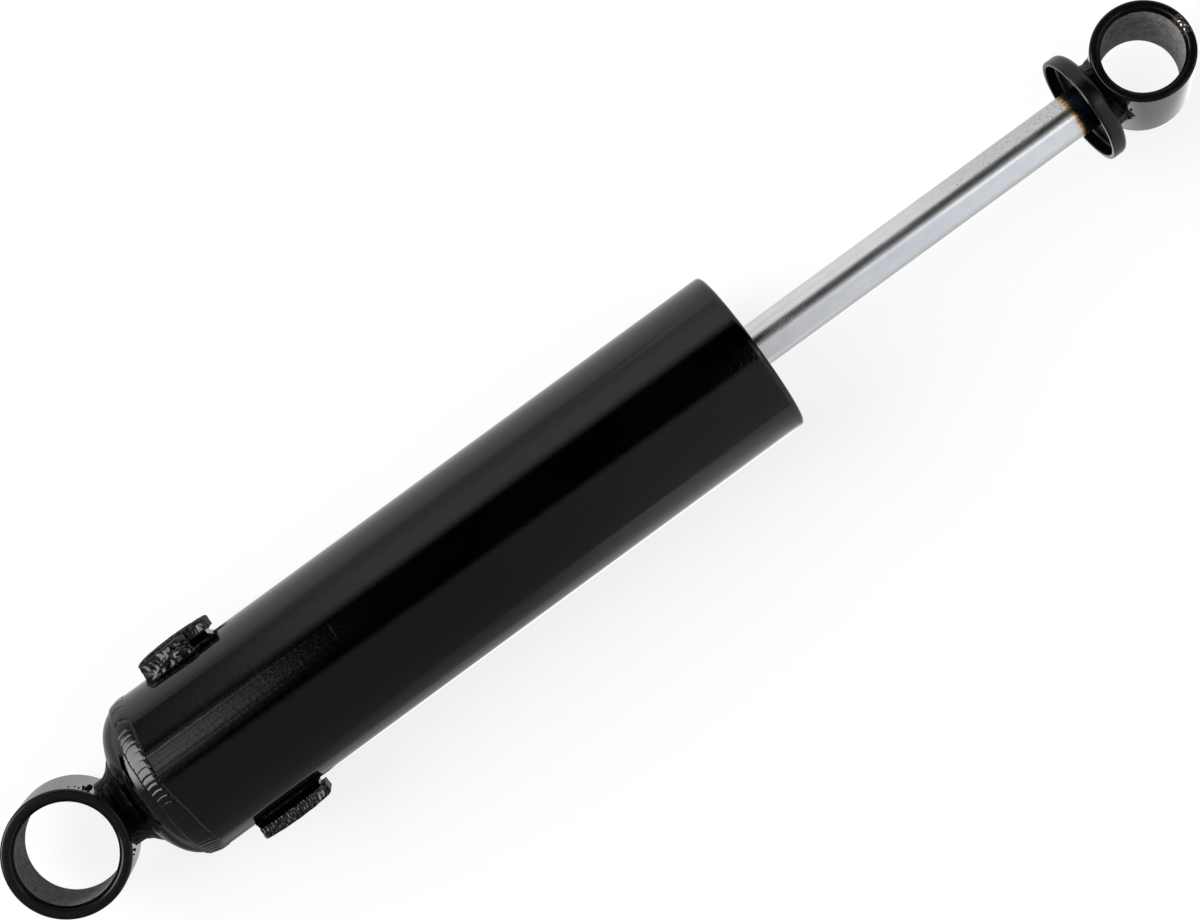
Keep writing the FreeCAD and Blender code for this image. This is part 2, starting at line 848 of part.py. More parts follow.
shim_washer = disc(
    "shim_washer", washer_face, size.shim_washer_thickness, size.shim_washer_od / 2
)
stop_plate = disc(
    "stop_plate", stop_plate_face, size.stop_plate_thickness, size.stop_plate_od / 2
)
shims = []
for number in range(SHIMS_IN_STACK):
    # shim 1 of each stack lies on the piston, and the next ones are smaller
    shims.append(
        disc(
            f"rebound_shim_{number + 1}",
            piston_face - size.shim_thickness * (number + 1),
            size.shim_thickness,
            (size.rebound_shim_od - size.rebound_shim_step * number) / 2,
        )
    )
    shims.append(
        disc(
            f"compression_shim_{number + 1}",
            compression_stack + size.shim_thickness * number,
            size.shim_thickness,
            (size.compression_shim_od - size.compression_shim_step * number) / 2,
        )
    )

bumper_bore = rod_radius + size.seat_clearance
bumper_radius = size.bumper_od / 2
top_out_bumper = turned(
    "top_out_bumper",
    shoulder,
    [
        (0, bumper_bore),
        (size.bumper_length, bumper_bore),
        (size.bumper_length, bumper_radius),
        (0, bumper_radius),
    ],
)
dress(
    top_out_bumper,
    "Fillet",
    size.bumper_round,
    circles_at(top_out_bumper, (0, bumper_radius), (size.bumper_length, bumper_radius)),
)

nut_corner = size.nut_across_flats / math.sqrt(3)
nut_turned = turned(
    "piston_nut_blank",
    nut_face,
    [
        (0, disc_bore),
        (0, size.nut_across_flats / 2),
        (size.nut_chamfer / 2, nut_corner),
        (size.nut_height, nut_corner),
        (size.nut_height, disc_bore),
    ],
)
nut_hexagon = document.addObject("Part::Prism", "piston_nut_hexagon")
nut_hexagon.Polygon = 6
nut_hexagon.Placement.Rotation = FreeCAD.Rotation(Vector(0, 1, 0), 90)
nut_hexagon.setExpression("Circumradius", nut_corner.text)
nut_hexagon.setExpression("Height", size.nut_height.text)
nut_hexagon.setExpression(".Placement.Base.x", nut_face.text)
piston_nut = document.addObject("Part::Common", "piston_nut")
piston_nut.Base = nut_turned
piston_nut.Tool = nut_hexagon


# Piston and band

band_outer = bore_radius - size.running_clearance
band_inner = band_outer - size.band_thickness
band_start = (size.piston_length - size.band_width) / 2
band_gap = size.running_clearance
piston_wall = bore_radius - size.piston_side_gap
piston = turned(
    "piston",
    piston_face,
    [
        (0, disc_bore),
        (0, piston_wall),
        (band_start - band_gap, piston_wall),
        (band_start - band_gap, band_inner - band_gap),
        (band_start + size.band_width + band_gap, band_inner - band_gap),
        (band_start + size.band_width + band_gap, piston_wall),
        (size.piston_length, piston_wall),
        (size.piston_length, disc_bore),
    ],
)
straight_port = new_sketch(piston, "compression_port", "YZ_Plane")
add_circle(straight_port, size.compression_port_circle / 2, 0, size.compression_port_dia / 2)
straight_cut = remove(piston, "compression_port_cut", straight_port, size.piston_length)

# The rebound ports slant outwards, so that they open beside the compression shims.
slant_start = size.rebound_port_circle / 2
slant_rise = piston_wall.mm - size.rebound_port_inset.mm - slant_start.mm
slant_length = math.hypot(slant_rise, size.piston_length.mm)
half_step = math.pi / PORTS_IN_RING
port_side = Vector(0, math.cos(half_step), math.sin(half_step))
slanted_port = new_sketch(piston, "rebound_port", "YZ_Plane")
add_circle(
    slanted_port,
    slant_start * port_side.y,
    slant_start * port_side.z,
    size.rebound_port_dia / 2,
)
slant = Vector(size.piston_length.mm, 0, 0).add(port_side * slant_rise)
slanted_cut = remove(
    piston, "rebound_port_cut", slanted_port, as_length(slant_length * 2), slant * -1
)

port_ring = piston.newObject("PartDesign::PolarPattern", "port_ring")
port_ring.Originals = [straight_cut, slanted_cut]
port_ring.Axis = (straight_port, ["N_Axis"])
port_ring.Angle = 360.0
port_ring.Occurrences = PORTS_IN_RING
piston.Tip = port_ring
document.recompute()

piston_band = turned(
    "piston_band",
    piston_face + band_start,
    [
        (0, band_inner),
        (size.band_width, band_inner),
        (size.band_width, band_outer),
        (0, band_outer),
    ],
)
slit = new_sketch(piston_band, "band_slit", "YZ_Plane")
add_outline(
    slit,
    [
        (band_inner / 2, size.band_slit / -2),
        (band_outer * 2, size.band_slit / -2),
        (band_outer * 2, size.band_slit / 2),
        (band_inner / 2, size.band_slit / 2),
    ],
)
remove(piston_band, "band_slit_cut", slit, size.band_width)


# Bump stop cup: pressed sheet, open towards the body, with a rounded back corner

cup_radius = size.cup_od / 2
cup_inside = cup_radius - size.cup_wall
cup_floor = size.cup_height - size.cup_floor
bump_cup = turned(
    "bump_cup",
    cup_rim,
    [
        (0, cup_inside),
        (0, cup_radius),
        (size.cup_height, cup_radius),
        (size.cup_height, rod_radius + size.seat_clearance),
        (cup_floor, rod_radius + size.seat_clearance),
        (cup_floor, cup_inside),
    ],
)
dress(bump_cup, "Fillet", size.cup_corner, circles_at(bump_cup, (size.cup_height, cup_radius)))
dress(bump_cup, "Fillet", size.cup_inner_round, circles_at(bump_cup, (cup_floor, cup_inside)))


# Every piece is checked before any is written

pieces = [
    body_tube,
    end_cap,
    end_cap_weld,
    body_eye,
    body_eye_weld,
    *lugs,
    *lug_welds,
    rod_guide,
    guide_oring,
    guide_bush,
    oil_seal,
    seal_washer,
    wiper_seal,
    guide_stop_ring,
    floating_piston,
    floating_piston_oring,
    piston_band,
    piston_rod,
    rod_eye,
    rod_eye_weld,
    bump_cup,
    top_out_bumper,
    stop_plate,
    *shims,
    piston,
    shim_washer,
    piston_nut,
]
document.recompute()
for item in document.Objects:
    if "Invalid" in item.State or "Error" in item.State:
        raise RuntimeError(f"{item.Label} failed: {item.State}")
for piece in pieces:
    shape = piece.Shape
    if shape.isNull() or not shape.isValid() or len(shape.Solids) != 1:
        raise RuntimeError(f"{piece.Label} is not one valid solid")
os.makedirs("parts", exist_ok=True)
for piece in pieces:
    piece.Shape.exportStep(f"parts/{piece.Label}.step")
    box = piece.Shape.BoundBox
    print(
        f"{piece.Label}: volume {piece.Shape.Volume:.1f}, x {box.XMin:.2f} to {box.XMax:.2f},"
        f" y {box.YMin:.2f} to {box.YMax:.2f}, z {box.ZMin:.2f} to {box.ZMax:.2f}"
    )
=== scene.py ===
import bmesh
import bpy
import math
from mathutils import Matrix, Vector, noise


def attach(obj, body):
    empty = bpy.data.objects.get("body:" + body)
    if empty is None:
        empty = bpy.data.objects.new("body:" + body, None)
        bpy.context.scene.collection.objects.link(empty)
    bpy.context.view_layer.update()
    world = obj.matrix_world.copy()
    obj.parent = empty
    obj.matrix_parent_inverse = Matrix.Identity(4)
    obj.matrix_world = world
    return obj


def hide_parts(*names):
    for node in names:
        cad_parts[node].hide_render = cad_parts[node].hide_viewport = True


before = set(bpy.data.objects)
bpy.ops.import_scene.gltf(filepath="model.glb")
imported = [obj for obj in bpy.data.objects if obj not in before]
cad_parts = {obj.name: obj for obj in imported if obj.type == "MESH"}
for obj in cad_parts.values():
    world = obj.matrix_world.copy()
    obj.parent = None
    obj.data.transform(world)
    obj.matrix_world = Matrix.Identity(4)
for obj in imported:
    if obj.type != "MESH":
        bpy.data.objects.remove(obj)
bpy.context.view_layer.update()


# Studio: the shock lies on a pale table in a white tent. A long dark gap in the tent's roof
# and one soft lamp beyond the body eye give the black paint its bands and highlights.

class Signal:
    """A node socket that Python can calculate with."""

    def __init__(self, recipe, socket):
        self.recipe = recipe
        self.socket = socket

    def math(self, operation, *values):
        """A Math node on these values. This signal is one of them only where it is passed."""
        return self.recipe.node(
            "ShaderNodeMath", {"operation": operation}, dict(enumerate(values))
        )

    def __add__(self, other):
        return self.math("ADD", self, other)

    def __sub__(self, other):
        return self.math("SUBTRACT", self, other)

    def __rsub__(self, other):
        return self.math("SUBTRACT", other, self)

    def __mul__(self, other):
        return self.math("MULTIPLY", self, other)

    def __truediv__(self, other):
        return self.math("DIVIDE", self, other)

    __radd__ = __add__
    __rmul__ = __mul__

    def root(self):
        return self.math("SQRT", self)

    def rise(self, start, end):
        """0 before start and 1 after end, with a smooth step between them."""
        return self.recipe.node(
            "ShaderNodeMapRange",
            {"interpolation_type": "SMOOTHSTEP"},
            {"Value": self, "From Min": start, "From Max": end},
        )

    def band(self, start, end, soft):
        """1 between start and end, and 0 outside them."""
        return self.rise(start - soft, start + soft) * self.rise(end + soft, end - soft)


class Recipe:
    """The node tree of a material or of the world."""

    def __init__(self, owner):
        owner.use_nodes = True
        self.tree = owner.node_tree
        self.tree.nodes.clear()

    def node(self, kind, settings=None, sockets=None, output=0):
        """Add a node, and return one of its outputs, or the node where it has none."""
        made = self.tree.nodes.new(kind)
        for name, value in (settings or {}).items():
            setattr(made, name, value)
        for name, value in (sockets or {}).items():
            if isinstance(value, Signal):
                self.tree.links.new(value.socket, made.inputs[name])
            else:
                made.inputs[name].default_value = value
        return Signal(self, made.outputs[output]) if made.outputs else made

    def axes(self, vector):
        split = self.node("ShaderNodeSeparateXYZ", None, {"Vector": vector})
        return [Signal(self, output) for output in split.socket.node.outputs]

    def blend(self, factor, first, second):
        """A mix of two colours."""
        return self.node(
            "ShaderNodeMix", {"data_type": "RGBA"}, {0: factor, 6: first, 7: second}, output=2
        )

    def grey(self, brightness):
        return self.node(
            "ShaderNodeCombineColor", None, {0: brightness, 1: brightness, 2: brightness}
        )


def colour(red, green, blue):
    return (red, green, blue, 1.0)


TABLE_TOP = -0.02405

# A direction into the tent is a vector of length 1, and turn is its angle about the shock,
# in degrees from straight up towards +Y.
sky = bpy.data.worlds.new("tent")
bpy.context.scene.world = sky
tent = Recipe(sky)
direction = tent.node("ShaderNodeTexCoord", None, None, output="Generated")
along, across, up = tent.axes(direction)
turn = across.math("ARCTAN2", across, up) * math.degrees(1)
over_cap = along.rise(-0.155, -0.175)
over_rod = along.rise(0.093, 0.107)

plus_y_wall = turn.rise(42, 58) * (0.78 - turn.rise(66, 92) * (1 - over_rod) * 0.26)
to_rod_end = 0.3 + along.rise(-0.15, -0.06) * 0.66 + along.rise(-0.03, 0.07) * 0.1
plus_y_wall = plus_y_wall * to_rod_end
minus_y_wall = 0.245 + along.rise(-0.04, 0.07) * 0.13 + along.rise(0.092, 0.107) * 0.40
wall_edge = turn + along * 30 - over_cap * 20
wall_edge = wall_edge.rise(-2, -12) * (1 - over_rod) + turn.rise(24, -8) * over_rod
minus_y_wall = minus_y_wall * wall_edge
edge_glow = turn.band(-10, -1, 5) * along.rise(0.10, 0.18) * 0.8
crumpled = tent.node(
    "ShaderNodeTexNoise", {"noise_dimensions": "1D"}, {"W": turn, "Scale": 0.35, "Detail": 1.5}
)
crumpled = 0.4 + crumpled.rise(0.3, 0.7) * 1.5
tent_end = across.rise(0.0, 0.42) * across.rise(0.72, 0.6) * along.rise(-0.085, -0.155)
tent_end = tent_end * crumpled
lamp = across.rise(0.04, 0.3) * across.rise(0.87, 0.79) * along.rise(-0.2, -0.33) * 4.8
brightness = plus_y_wall + minus_y_wall + edge_glow + tent_end + lamp
brightness = brightness * (1 - along.rise(0.85, 0.95) * 0.85)
low_side = turn.rise(8, -12)
violet = low_side * (1 - over_rod)
blue = low_side * over_rod
ray = tent.node("ShaderNodeLightPath", output="Is Camera Ray")
tinted = tent.node(
    "ShaderNodeCombineColor",
    None,
    {
        0: ray + (1 - ray) * brightness * (1 + violet * 0.07 - blue * 0.05),
        1: ray + (1 - ray) * brightness * (1 - violet * 0.04),
        2: ray + (1 - ray) * brightness * (1 + violet * 0.03 + blue * 0.06),
    },
)
tent.node(
    "ShaderNodeOutputWorld",
    None,
    {"Surface": tent.node("ShaderNodeBackground", None, {"Color": tinted})},
)

table_shape = bmesh.new()
bmesh.ops.create_grid(table_shape, x_segments=1, y_segments=1, size=3.0)
bmesh.ops.translate(table_shape, verts=table_shape.verts, vec=(0.15, 0, TABLE_TOP))
table_mesh = bpy.data.meshes.new("table")
table_shape.to_mesh(table_mesh)
table_shape.free()
table = bpy.data.objects.new("table", table_mesh)
bpy.context.scene.collection.objects.link(table)

# The camera sees the table as plain white. Reflections see a painted reflection instead: the table
# glows for them, brighter or darker by the place on it, in metres.
table_white = bpy.data.materials.new("table white")
white = Recipe(table_white)
table_x, table_y, _ = white.axes(white.node("ShaderNodeTexCoord", output="Object"))
beside_rod = table_x.rise(0.217, 0.226)
far = 0.24 + table_x.rise(0.03, 0.08) * 0.1 + table_x.rise(0.08, 0.15) * 0.06
far = far + table_x.rise(0.12, 0.21) * 0.4
middle = 0.62 + table_x.rise(0.11, 0.22) * 0.3
near = 0.85 + table_x.rise(0.035, 0.085) * 1.25 - table_x.rise(0.12, 0.21) * 0.3
slanted = table_y + table_x * 0.05
by_tube = far + table_y.rise(-0.085, -0.065) * (middle - far)
by_tube = by_tube + slanted.rise(-0.034, -0.0245) * (near - by_tube)
by_rod = 0.66 - table_y.rise(-0.1, -0.055) * 0.14 + table_y.rise(-0.033, -0.013) * 0.8
minus_y_part = by_tube + (by_rod - by_tube) * beside_rod
plus_y_part = 0.8 - table_y.rise(0.1, 0.4) * 0.3 * (1 - beside_rod)
plus_y_part = plus_y_part - table_y.rise(0.05, 0.02) * beside_rod * 0.08
to_plus_y = table_y.rise(-0.004, 0.004)
painted_reflection_level = minus_y_part * (1 - to_plus_y) + plus_y_part * to_plus_y

# Painted shade and shadow: the glow seen in reflections is darkened in a wedge beyond the body eye,
# and under and beside the eyes, the cap and the two lugs.
beyond = table_x.rise(-0.09, -0.13) * (table_y / (0.03 - table_x)).band(0.12, 0.7, 0.05)
from_eye = (table_x * table_x + table_y * table_y).root()
from_rod_eye = ((table_x - 0.353) * (table_x - 0.353) + table_y * table_y).root()
off_axis = (table_y * table_y).root()
painted_shadow_by_lugs = table_x.band(0.042, 0.064, 0.0015) * off_axis.band(0.0275, 0.037, 0.001)
painted_shadow_by_body_eye = table_x.rise(0.038, 0.0) * off_axis.rise(0.075, 0.04)
painted_shadow_by_cap = table_x.rise(0.062, 0.03) * table_y.band(-0.044, -0.02, 0.006)
painted_reflection_level = painted_reflection_level * (1 - beyond) * (1 - painted_shadow_by_lugs * 0.93)
painted_reflection_level = painted_reflection_level * (1 - painted_shadow_by_body_eye * 0.55) * (1 - painted_shadow_by_cap * 0.6)
painted_reflection_level = painted_reflection_level * (0.4 + from_eye.rise(0.010, 0.015) * 0.6)
painted_reflection_level = painted_reflection_level * (0.4 + from_rod_eye.rise(0.010, 0.015) * 0.6)
rays = white.node("ShaderNodeLightPath").socket.node
for_camera = Signal(white, rays.outputs["Is Camera Ray"])
for_gloss = Signal(white, rays.outputs["Is Glossy Ray"]) + Signal(
    white, rays.outputs["Is Transmission Ray"]
)
lit = white.node("ShaderNodeBsdfDiffuse", None, {"Color": colour(0.8, 0.8, 0.8)})
pale = white.node("ShaderNodeBsdfDiffuse", None, {"Color": colour(0.2, 0.2, 0.2)})
glow = white.node("ShaderNodeEmission", None, {"Color": colour(1, 1, 1), "Strength": 0.81})
painted_reflection_glow = white.node("ShaderNodeEmission", None, {"Color": white.grey(painted_reflection_level)})
paper = white.node("ShaderNodeAddShader", None, {0: pale, 1: glow})
plain = white.node("ShaderNodeMixShader", None, {0: for_camera, 1: lit, 2: paper})
seen = white.node("ShaderNodeMixShader", None, {0: for_gloss, 1: plain, 2: painted_reflection_glow})
white.node("ShaderNodeOutputMaterial", None, {"Surface": seen})
table_mesh.materials.append(table_white)

# A long lens high above the shock, fitted to the outlines in the picture.
lens = bpy.data.cameras.new("camera")
lens.sensor_width = 36.0
lens.lens = 89.8
lens.clip_start = 0.01
camera = bpy.data.objects.new("camera", lens)
image_right = Vector((0.80746809, -0.58657449, 0.06266919))
image_up = Vector((0.58945278, 0.80646336, -0.04655478))
backwards = Vector((-0.02322906, 0.07453184, 0.99694739))
camera.matrix_world = Matrix.Translation((0.152775, 0.058552, 0.784672)) @ Matrix(
    (image_right, image_up, backwards)
).transposed().to_4x4()
bpy.context.scene.collection.objects.link(camera)
bpy.context.scene.camera = camera
bpy.context.scene.view_settings.view_transform = "Standard"


# Body tube: drawn steel tube, rolled in to a lip over the rod guide, and painted gloss black
# by spraying, so the paint has a fine orange peel. Handling has left faint rings round it.

STEPS_ROUND = 192
TUBE_RADIUS = 23.8
TUBE_END = 220.5
LIP_HOLE = 18.5


class Section:
    """A pen that draws a half section, and then spins it about the shock's axis.

    Its points are x along the shock and the distance from the axis, in millimetres.
    """

    def __init__(self, x, radius):
        self.shape = bmesh.new()
        self.first = self.last = self.shape.verts.new((x, 0, radius))

    def to(self, x, radius):
        point = self.shape.verts.new((x, 0, radius))
        self.shape.edges.new((self.last, point))
        self.last = point
        return self

    def arc(self, centre_x, centre_radius, degrees, steps):
        """Turn the last point about a centre; a positive angle goes from -X up and to +X."""
        made = bmesh.ops.spin(
            self.shape,
            geom=[self.last],
            cent=(centre_x, 0, centre_radius),
            axis=(0, 1, 0),
            angle=math.radians(degrees),
            steps=steps,
        )
        self.last = made["geom_last"][0]
        return self

    def spin(self, steps=STEPS_ROUND, closed=True):
        if closed:
            self.shape.edges.new((self.last, self.first))
        bmesh.ops.spin(
            self.shape,
            geom=self.shape.verts[:] + self.shape.edges[:],
            cent=(0, 0, 0),
            axis=(1, 0, 0),
            angle=math.tau,
            steps=steps,
            use_merge=True,
        )
        bmesh.ops.remove_doubles(self.shape, verts=self.shape.verts, dist=1e-4)
        bmesh.ops.recalc_face_normals(self.shape, faces=self.shape.faces)
        return self.shape


def ring_edges(shape, x, radius):
    """The edges of the circle at one station and radius."""

    def on_ring(point):
        from_axis = math.hypot(point.co.y, point.co.z)
        return abs(point.co.x - x) < 1e-3 and abs(from_axis - radius) < 1e-3

    return [edge for edge in shape.edges if on_ring(edge.verts[0]) and on_ring(edge.verts[1])]


def round_edges(shape, edges, size, segments):
    bmesh.ops.bevel(
        shape,
        geom=edges,
        offset=size,
        offset_type="OFFSET",
        segments=segments,
        profile=0.5,
        affect="EDGES",
        material=-1,
    )


def make_piece(shape, name, finish, body, node, sharp=35):
    """Turn a shape in millimetres into an object in metres that rides on a body.

    It stands for a node of the CAD model, and edges over sharp degrees stay crisp.
    """
    bmesh.ops.scale(shape, vec=(0.001, 0.001, 0.001), verts=shape.verts)
    shape.normal_update()
    for face in shape.faces:
        face.smooth = True
    for edge in shape.edges:
        edge.smooth = edge.calc_face_angle(0) < math.radians(sharp)
    mesh = bpy.data.meshes.new(name)
    shape.to_mesh(mesh)
    shape.free()
    mesh.materials.append(finish)
    piece = bpy.data.objects.new(name, mesh)
    bpy.context.scene.collection.objects.link(piece)
    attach(piece, body)
    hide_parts(node)


class Finish(Recipe):
    """A material of Principled shaders, whose patterns are sized in millimetres."""

    def __init__(self, name):
        self.material = bpy.data.materials.new(name)
        super().__init__(self.material)
        self.place = self.node("ShaderNodeTexCoord", output="Object")

    def grain(self, size, detail=2.0, roughness=0.5, vector=None):
        """Noise from 0 to 1 whose lumps are about size millimetres across."""
        return self.node(
            "ShaderNodeTexNoise",
            None,
            {
                "Vector": vector or self.place,
                "Scale": 1000 / size,
                "Detail": detail,
                "Roughness": roughness,
            },
        )

    def stretched(self, x, y, z):
        """The place on the piece, with each direction multiplied."""
        return self.node("ShaderNodeMapping", None, {"Vector": self.place, "Scale": (x, y, z)})

    def relief(self, height, depth):
        """Bump from a height of 0 to 1 that stands for depth millimetres."""
        return self.node("ShaderNodeBump", None, {"Height": height, "Distance": depth / 1000})

    def shader(self, **sockets):
        named = {name.replace("_", " "): value for name, value in sockets.items()}
        return self.node("ShaderNodeBsdfPrincipled", None, named)

    def show(self, shader):
        self.node("ShaderNodeOutputMaterial", None, {"Surface": shader})

    def done(self, **sockets):
        self.show(self.shader(**sockets))

    def mix(self, factor, first, second):
        return self.node("ShaderNodeMixShader", None, {0: factor, 1: first, 2: second})


body_black = Finish("gloss black spray paint on the tube")
peel = body_black.grain(0.8, 2.0, 0.6, body_black.stretched(0.7, 1.0, 1.0)) * 0.8
peel = peel + body_black.grain(2.6, 1.0) * 0.2
rings = body_black.grain(0.8, 2.0, 0.6, body_black.stretched(1.0, 0.03, 0.03))
rubbed = rings.rise(0.60, 0.70) * body_black.grain(13, 2.0).rise(0.46, 0.62)
body_black.done(
    Base_Color=body_black.blend(
        body_black.grain(22, 3.0).rise(0.4, 0.75),
        colour(0.0002, 0.0002, 0.0003),
        colour(0.0007, 0.0007, 0.0008),
    ),
    Roughness=0.055 + rubbed * 0.07 + body_black.grain(14, 3.0) * 0.03,
    Specular_IOR_Level=0.5,
    Normal=body_black.relief(peel + rubbed * 0.08, 0.015),
)

tube = Section(32, 21.5)
for station in (32.4, 60, 100, 140, 180, 218.9, TUBE_END):
    tube.to(station, TUBE_RADIUS)
tube = tube.to(TUBE_END, LIP_HOLE).to(218.2, LIP_HOLE).to(218.2, 21.5).spin()
round_edges(tube, ring_edges(tube, TUBE_END, TUBE_RADIUS), 1.2, 6)
round_edges(tube, ring_edges(tube, TUBE_END, LIP_HOLE), 0.4, 3)
make_piece(tube, "tube", body_black.material, "body", "body_tube")


# End cap: a forged steel dome whose rim turns into the tube with a rounded knuckle. Its
# spigot plugs the tube, and it is painted with it.

KNUCKLE_X = 34
KNUCKLE_CENTRE = 11.3
KNUCKLE_RADIUS = 12.5

cap = (
    Section(18.4, 0)
    .arc(53.045, 0, 30.68, 24)
    .arc(KNUCKLE_X, KNUCKLE_CENTRE, 49.0, 24)
    .to(32.2, 21.45)
    .to(35, 21.45)
    .to(35, 18.3)
    .to(30.4, 18.3)
    .arc(30.4, 11.3, -90, 8)
    .to(23.4, 0)
    .spin()
)
make_piece(cap, "cap", body_black.material, "body", "end_cap")


# Cap weld: one pass of wire welding that joins the cap to the tube, laid in overlapping
# crescents. Its toes wander, and one stretch of it has run smooth. Painted over.

BEAD_STEPS = 720
BEAD_CUTS = 25
BEAD_TOP = 23.96
FOOT_X, FOOT_RADIUS = 28.4, 22.2
HEAD_X, HEAD_RADIUS = 34, 23.5
RIPPLE = 2.2

# Where the crescents are taller or flatter: degrees from the top towards +Y, width, and part.
TALLER = (
    (-42, 11, -0.8),
    (0, 18, 0.5),
    (50, 12, 0.6),
    (74, 16, 1.1),
    (-76, 13, 2.4),
    (150, 20, -0.5),
)

weld_black = Finish("gloss black paint over weld metal")
weld_skin = weld_black.grain(0.35, 2.0, 0.6) * 0.5 + weld_black.grain(1.4, 2.0) * 0.5
weld_black.done(
    Base_Color=weld_black.blend(
        weld_black.grain(2.5, 3.0).rise(0.45, 0.7),
        colour(0.0009, 0.0009, 0.0010),
        colour(0.0030, 0.0028, 0.0026),
    ),
    Roughness=0.08 + weld_black.grain(1.1, 3.0) * 0.10,
    Specular_IOR_Level=0.5,
    Normal=weld_black.relief(weld_skin, 0.03),
)


def bell(distance, width):
    return math.exp(-((distance / width) ** 2))


def round_wander(angle, size, seed, radius=23.0):
    """Smooth chance movement from -1 to 1 round a circle, the same on every run."""
    return noise.noise(
        Vector((math.cos(angle) * radius / size, math.sin(angle) * radius / size, seed * 5.7))
    )


def dome_radius(x):
    """The radius of the cap's knuckle, or of the tube beyond it."""
    if x >= KNUCKLE_X:
        return TUBE_RADIUS
    return KNUCKLE_CENTRE + math.sqrt(KNUCKLE_RADIUS**2 - (KNUCKLE_X - x) ** 2)


def ripples(angle, place_across):
    """The crescents' crest and how far a place lies below it, both in millimetres.

    The place is given by its angle and from toe to toe (-1 to 1).
    """
    degrees = math.degrees(angle)
    fanned = 1 / (1 + math.exp((degrees + 62) / 4))
    bend = (0.42 + 1.1 * fanned) * (1 - place_across**2)
    travel = degrees - max(0.0, degrees - 46) * 0.5 - min(0.0, degrees + 62) * 0.25
    travel *= 23.0 * math.tau / 360 / RIPPLE
    uneven = 0.55 * round_wander(angle, 9.0, 1)
    uneven += 0.12 * place_across * round_wander(angle, 4.0, 2)
    phase = (travel - bend + uneven) % 1.0
    groove = abs(phase * 2 - 1) ** (4 + 8 / (1 + math.exp((54 - degrees) / 3)))
    crest = 0.124 + 0.1 * round_wander(angle, 5.0, 3)
    for centre, width, part in TALLER:
        crest *= 1 + part * bell(degrees - centre, width)
    return crest, crest * groove


bead = Section(HEAD_X, HEAD_RADIUS).to(32, 21.5).to(FOOT_X, 21.5).to(FOOT_X, FOOT_RADIUS)
top_edge = bead.shape.edges.new((bead.last, bead.first))
bmesh.ops.subdivide_edges(bead.shape, edges=[top_edge], cuts=BEAD_CUTS)
bead = bead.spin(BEAD_STEPS, closed=False)
slope = (HEAD_RADIUS - FOOT_RADIUS) / (HEAD_X - FOOT_X)
for point in bead.verts:
    x, radius = point.co.x, math.hypot(point.co.y, point.co.z)
    if abs(radius - (FOOT_RADIUS + slope * (x - FOOT_X))) > 1e-3:
        continue
    angle = math.atan2(point.co.y, point.co.z)
    across_bead = (x - FOOT_X) / (HEAD_X - FOOT_X) * 2 - 1
    swell = max(0.0, 1 - across_bead**2)
    dip = bell(math.degrees(angle) - 6, 24)
    left_part = bell(math.degrees(angle) - 75, 32)
    cap_toe = 27.75 + 1.1 * left_part
    cap_toe += 0.22 * round_wander(angle, 3.0, 4) + 0.15 * round_wander(angle, 11, 5)
    tube_toe = 33.9 - 1.25 * dip + 0.5 * left_part + 0.1 * round_wander(angle, 5, 7)
    tube_toe += 0.22 * round_wander(angle, 0.7, 6) + 0.15 * round_wander(angle, 2.4, 16)
    level = (across_bead + 1) / 2
    place = cap_toe + (tube_toe - cap_toe) * level
    chord = dome_radius(cap_toe) + (dome_radius(tube_toe) - dome_radius(cap_toe)) * level
    side_wall = 1 - abs(across_bead) ** 7
    crest, below_crest = ripples(angle, across_bead)
    top = chord - 0.06 + (0.38 + crest) * side_wall + 0.16 * swell
    top = min(top, BEAD_TOP) - below_crest * side_wall
    point.co = (place, math.sin(angle) * top, math.cos(angle) * top)
make_piece(bead, "cap_bead", weld_black.material, "body", "end_cap_weld", sharp=70)


# Body eye: a short length of heavy steel tube for a bushing, turned and chamfered, painted
# with the body. Its face and bore are left as machined under a thin coat.

BODY_EYE = (13.5, 17.0)  # the radius of the bore and of the outside
EYE_WIDTH = 25.4
EYE_CHAMFER = 0.5
MOUTH_WIDTH = 0.85
MOUTH_DEPTH = 1.5


def eye_finish(finish, place, bore, outside, gloss, chip=0, chip_colour=colour(0, 0, 0)):
    """Thin paint on an eye: glossy on its edges, and rough and half bare in its bore.

    The mouth, the chamfer and the outer wall count as edges.
    """
    eye_x, eye_y, _ = finish.axes(place)
    radius = (eye_x * eye_x + eye_y * eye_y).root() * 1000
    on_edges = radius.band(bore + 0.04, bore + MOUTH_WIDTH + 0.35, 0.03)
    on_edges = on_edges + radius.rise(outside - 0.65, outside - 0.55)
    specks = finish.grain(0.5, 4.0, 0.7)
    clouds = finish.grain(2.6, 4.0, 0.65)
    pits = finish.grain(0.42, 1.0).rise(0.62, 0.68)
    coat = finish.blend(
        specks.rise(0.35, 0.75), colour(0.0009, 0.0009, 0.0010), colour(0.0034, 0.0033, 0.0034)
    )
    painted = finish.shader(
        Base_Color=finish.blend(chip, coat, chip_colour),
        Metallic=chip,
        Roughness=0.2 + specks * 0.12 - on_edges * 0.22 + chip * 0.14,
        Specular_IOR_Level=gloss,
        Coat_Weight=radius.rise(outside - 0.2, outside - 0.1) * 0.8,
        Normal=finish.relief(specks * (1 - on_edges) * 0.4 + (1 - chip) * 0.6, 0.05),
    )
    bare = finish.blend(
        clouds.rise(0.35, 0.65), colour(0.126, 0.123, 0.126), colour(0.225, 0.218, 0.219)
    )
    bare = finish.blend(specks.rise(0.5, 0.7), bare, colour(0.37, 0.36, 0.35))
    bare = finish.blend(pits, bare, colour(0.016, 0.016, 0.016))
    rough = finish.shader(
        Base_Color=bare,
        Roughness=0.62 + clouds * 0.2,
        Specular_IOR_Level=0.06,
        Normal=finish.relief(clouds + specks, 0.02),
    )
    finish.show(finish.mix(radius.rise(bore + 0.06, bore + 0.01), painted, rough))


